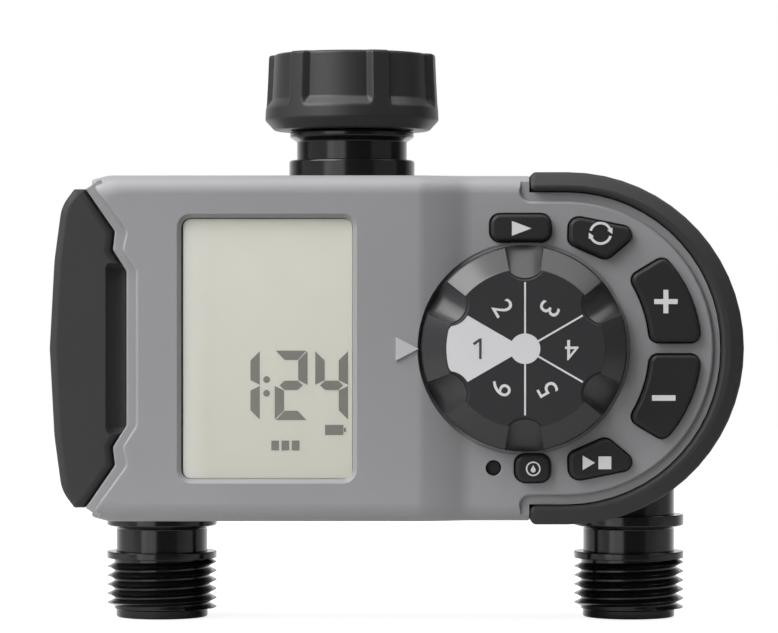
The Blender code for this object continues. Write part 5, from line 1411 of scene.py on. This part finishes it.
# %% Outlets
PORT_Z, PORT_R, PORT_REACH = -0.0875, 0.0037, (0.0082, 0.0136)
upper = eased([(0.0118, -0.0830, 0), (0.0118, -0.0940, 0), (0.0112, -0.0946, 0), (0.0112, -0.1128, 0),
               (0.0135, -0.1128, 0.0003), (0.0135, -0.1154, 0.0003), (0.0112, -0.1161, 0.0003),
               (0.0112, -0.1218, 0), (0.0135, -0.1218, 0.0003), (0.0135, -0.1235, 0.0002),
               (0.01175, -0.1236, 0)])
wound = dict(start=-0.12302, turns=6, base=0.01175, crest=0.0135, way=-1, ends=(0, 5.5),
             limits=(-0.1358, -0.12365))
lower = eased([(0.01145, -0.1359, 0), (0.01125, -0.1361, 0), (0.01125, -0.13794, 0.0005),
               (0.0080, -0.13794, 0), (0.0080, -0.0940, 0), (0.0048, -0.0920, 0), (0.0048, -0.0854, 0),
               (0.0066, -0.0854, 0), (0.0066, -0.0920, 0), (0.0100, -0.0920, 0), (0.0100, -0.0830, 0)])
for side, x in OUTLET_XS.items():
    outlet = turned(f"outlet_{side}", upper + [wound] + lower, GLOSS_BLACK, (x, 0.0), way=-1)
    inwards = math.copysign(1, -x)
    port = rod("X", (0.0, PORT_Z), PORT_R, *sorted(x + inwards * reach for reach in PORT_REACH), 32)
    combine(outlet, solid("port", [port]))
    dress(outlet, "housing", "black_plastic", f"valve_body_{side}")

# %% [markdown]
# ## Screws
# Six screws hold the rear shell. Each sits deep in a post, so only its cross-slotted head shows from
# behind. They are all alike: Geometry Nodes build one screw from a dome, a shank and a slot cut by two
# crossed bars, and place it on six points.

# %% Screws
SCREW_HEAD = 0.0018


def screw_tree():
    """One cross-slotted screw along Y for each point, its head at the back."""
    tree = Tree("screws", Head_Radius="Float", Head="Float", Shank_Radius="Float", Length="Float",
                Slot="Float")
    head_r, head = tree.given("Head_Radius"), tree.given("Head")
    shank_r, length, slot = tree.given("Shank_Radius"), tree.given("Length"), tree.given("Slot")
    dome = tree.node("GeometryNodeMeshCone", Vertices=32, Radius_Top=head_r * 0.74, Radius_Bottom=head_r,
                     Depth=head * 0.5)
    collar = tree.node("GeometryNodeMeshCylinder", Vertices=32, Radius=head_r, Depth=head * 0.5)
    shank = tree.node("GeometryNodeMeshCylinder", Vertices=20, Radius=shank_r, Depth=length)
    whole = tree.moved(dome, Z=head * 0.5)
    for part, lift in ((collar, head * 0.25), (shank, length * -0.5)):
        whole = tree.blend("UNION", whole, tree.moved(part, Z=lift))
    for wide, deep in ((head_r * 1.3, slot), (slot, head_r * 1.3)):
        blade = tree.node("GeometryNodeMeshCube", Size=tree.vector(X=wide, Y=deep, Z=head))
        whole = tree.blend("DIFFERENCE", whole, tree.moved(blade, Z=head))
    upright = tree.node("GeometryNodeTransform", Geometry=whole, Rotation=(-math.pi / 2, 0.0, 0.0))
    return tree.end(tree.on_points(upright), STEEL)


low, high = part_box("housing_screw_1")
screw_names = [f"housing_screw_{i + 1}" for i in range(len(SCREWS))]
screw_inputs = {"Head_Radius": 0.0026, "Head": SCREW_HEAD, "Shank_Radius": 0.0013, "Slot": 0.0006,
                "Length": high.y - low.y - SCREW_HEAD}
shell_screws = with_nodes("shell_screws", screw_tree(), screw_inputs,
                          [(x, high.y - SCREW_HEAD, z) for x, z in SCREWS])
dress(shell_screws, "housing", "spring_steel", *screw_names)

# %% [markdown]
# ## Inlet filter
# A cup of steel gauze stands in the inlet and keeps grit out of the valves. The gauze is a cone of
# crossing wires: Geometry Nodes turn the edges of a plain cone mesh into curves and give each a thin
# round section. A pressed rim holds it.

# %% Inlet filter
def gauze_tree():
    """A wire along every edge of a cone-shaped net."""
    tree = Tree("gauze", Top="Float", Tip="Float", Depth="Float", Wire="Float", Centre="Vector")
    net = tree.node("GeometryNodeMeshCone", {"fill_type": "TRIANGLE_FAN"}, Vertices=40, Side_Segments=16,
                    Fill_Segments=5, Radius_Top=tree.given("Top"), Radius_Bottom=tree.given("Tip"),
                    Depth=tree.given("Depth"))
    net = tree.node("GeometryNodeTransform", Geometry=net, Translation=tree.given("Centre"))
    wires = tree.node("GeometryNodeMeshToCurve", Mesh=net)
    return tree.end(tree.wire(wires, 5), STEEL)


low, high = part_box("filter_screen")
net_top = high.z - 0.0008
gauze = with_nodes("filter_gauze", gauze_tree(), {
    "Top": 0.0070, "Tip": 0.0050, "Depth": net_top - low.z - 0.0003, "Wire": 0.00012,
    "Centre": (0, 0, low.z + 0.0002)})
rim_profile = [(0.0066, -0.0022, 0), (0.0072, -0.0022, 0), (0.0072, -0.0007, 0), (0.0105, -0.0007, 0.0002),
               (0.0105, 0.0, 0.0002), (0.0066, 0.0, 0.0002)]
rim = turned("filter_rim", eased([(radius, high.z + z, ease) for radius, z, ease in rim_profile]), STEEL)
dress(rim, "housing", "spring_steel", "filter_screen")
dress(gauze, "housing", "spring_steel")

# %% [markdown]
# ## Cells
# Two AA cells stand head to tail in the drawer and come out with it. Each is a steel can with a nub, in a
# printed sleeve that laps over both ends of the can.

# %% Cells
SLEEVE_R, SLEEVE_BORE, SLEEVE_MOUTH, SLEEVE_LAP = 0.0072, 0.00705, 0.0060, 0.0002
CAN_R, CAN_END = 0.0069, 0.00025
NUB_R, NUB = 0.0027, 0.0013

for name, way in (("battery_1", 1), ("battery_2", -1)):
    low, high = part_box(name)
    spot = ((low.x + high.x) / 2, (low.y + high.y) / 2)
    foot = low.z if way == 1 else high.z
    tall = high.z - low.z
    top = tall - NUB
    sleeve = [(SLEEVE_R, 0.0, 0.0005), (SLEEVE_R, top, 0.0005), (SLEEVE_MOUTH, top, 0.0),
              (SLEEVE_MOUTH, top - SLEEVE_LAP, 0.0), (SLEEVE_BORE, top - SLEEVE_LAP, 0.0),
              (SLEEVE_BORE, SLEEVE_LAP, 0.0), (SLEEVE_MOUTH, SLEEVE_LAP, 0.0), (SLEEVE_MOUTH, 0.0, 0.0)]
    can = [(0.0040, CAN_END, 0.0), (CAN_R, CAN_END, 0.0004), (CAN_R, top - CAN_END, 0.0004),
           (NUB_R, top - CAN_END, 0.0), (NUB_R, tall, 0.0004), (0.0008, tall, 0.0)]
    sleeve, can = [revolve([(radius, foot + way * along) for radius, along in eased(shape)], spot=spot)
                   for shape in (sleeve, can)]
    dress(solid(name + "_sleeve", [sleeve], CELL, closed=True), "drawer", "cell_jacket", name)
    dress(solid(name + "_can", [can], STEEL), "drawer", "spring_steel")

# %% [markdown]
# ## Plunger springs
# A plunger rises into its coil when a valve opens, so the spring above it has to give way. Each spring is
# a round wire swept along a spiral.

# %% Plunger springs
SPRING_WIRE = 0.0004


def spring_tree():
    """A coil spring that stands on each point."""
    tree = Tree("springs", Radius="Float", Height="Float", Wire="Float")
    radius = tree.given("Radius")
    spiral = tree.node("GeometryNodeCurveSpiral", Resolution=32, Rotations=4.0, Start_Radius=radius,
                       End_Radius=radius, Height=tree.given("Height"))
    return tree.end(tree.on_points(tree.wire(spiral, 12)), STEEL)


springs = spring_tree()
for side in ("left", "right"):
    low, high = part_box(f"plunger_spring_{side}")
    tall = high.z - low.z
    x, y = (low.x + high.x) / 2, (low.y + high.y) / 2
    inputs = {"Radius": (high.x - low.x) / 2 - SPRING_WIRE, "Height": tall - 2 * SPRING_WIRE,
              "Wire": SPRING_WIRE}
    spring = with_nodes(f"{side}_spring", springs, inputs, [(x, y, low.z + SPRING_WIRE)])
    dress(spring, "housing", "spring_steel", f"plunger_spring_{side}")
    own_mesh(spring)

# %% [markdown]
# ## Everything else
# The solids that stay as they are, mostly inside, get the finish of their material slot.

# %% Finishes for the rest
BY_SLOT = {
    "housing_grey": GREY_SHELL, "black_plastic": SATIN_BLACK, "bumper_rubber": SOFT_BLACK,
    "key_rubber": KEY_BLACK, "clear_lens": LENS, "lcd_glass": LCD, "dial_print": FACE_BLACK,
    "circuit_green": BOARD, "white_plastic": MILKY, "spring_steel": STEEL, "winding": WINDING,
    "seal_rubber": SEAL, "cell_jacket": CELL, "lead_insulation": LEAD,
}
for entry in frame["record"]["subparts"]:
    solid = frame["nodes"][entry["node"]]
    solid.data.materials.clear()
    solid.data.materials.append(BY_SLOT[entry["material_slot"]])

# %% Sizes and end
low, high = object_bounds()
print("object is", [round((b - a) * 1000, 1) for a, b in zip(low, high)], "mm")
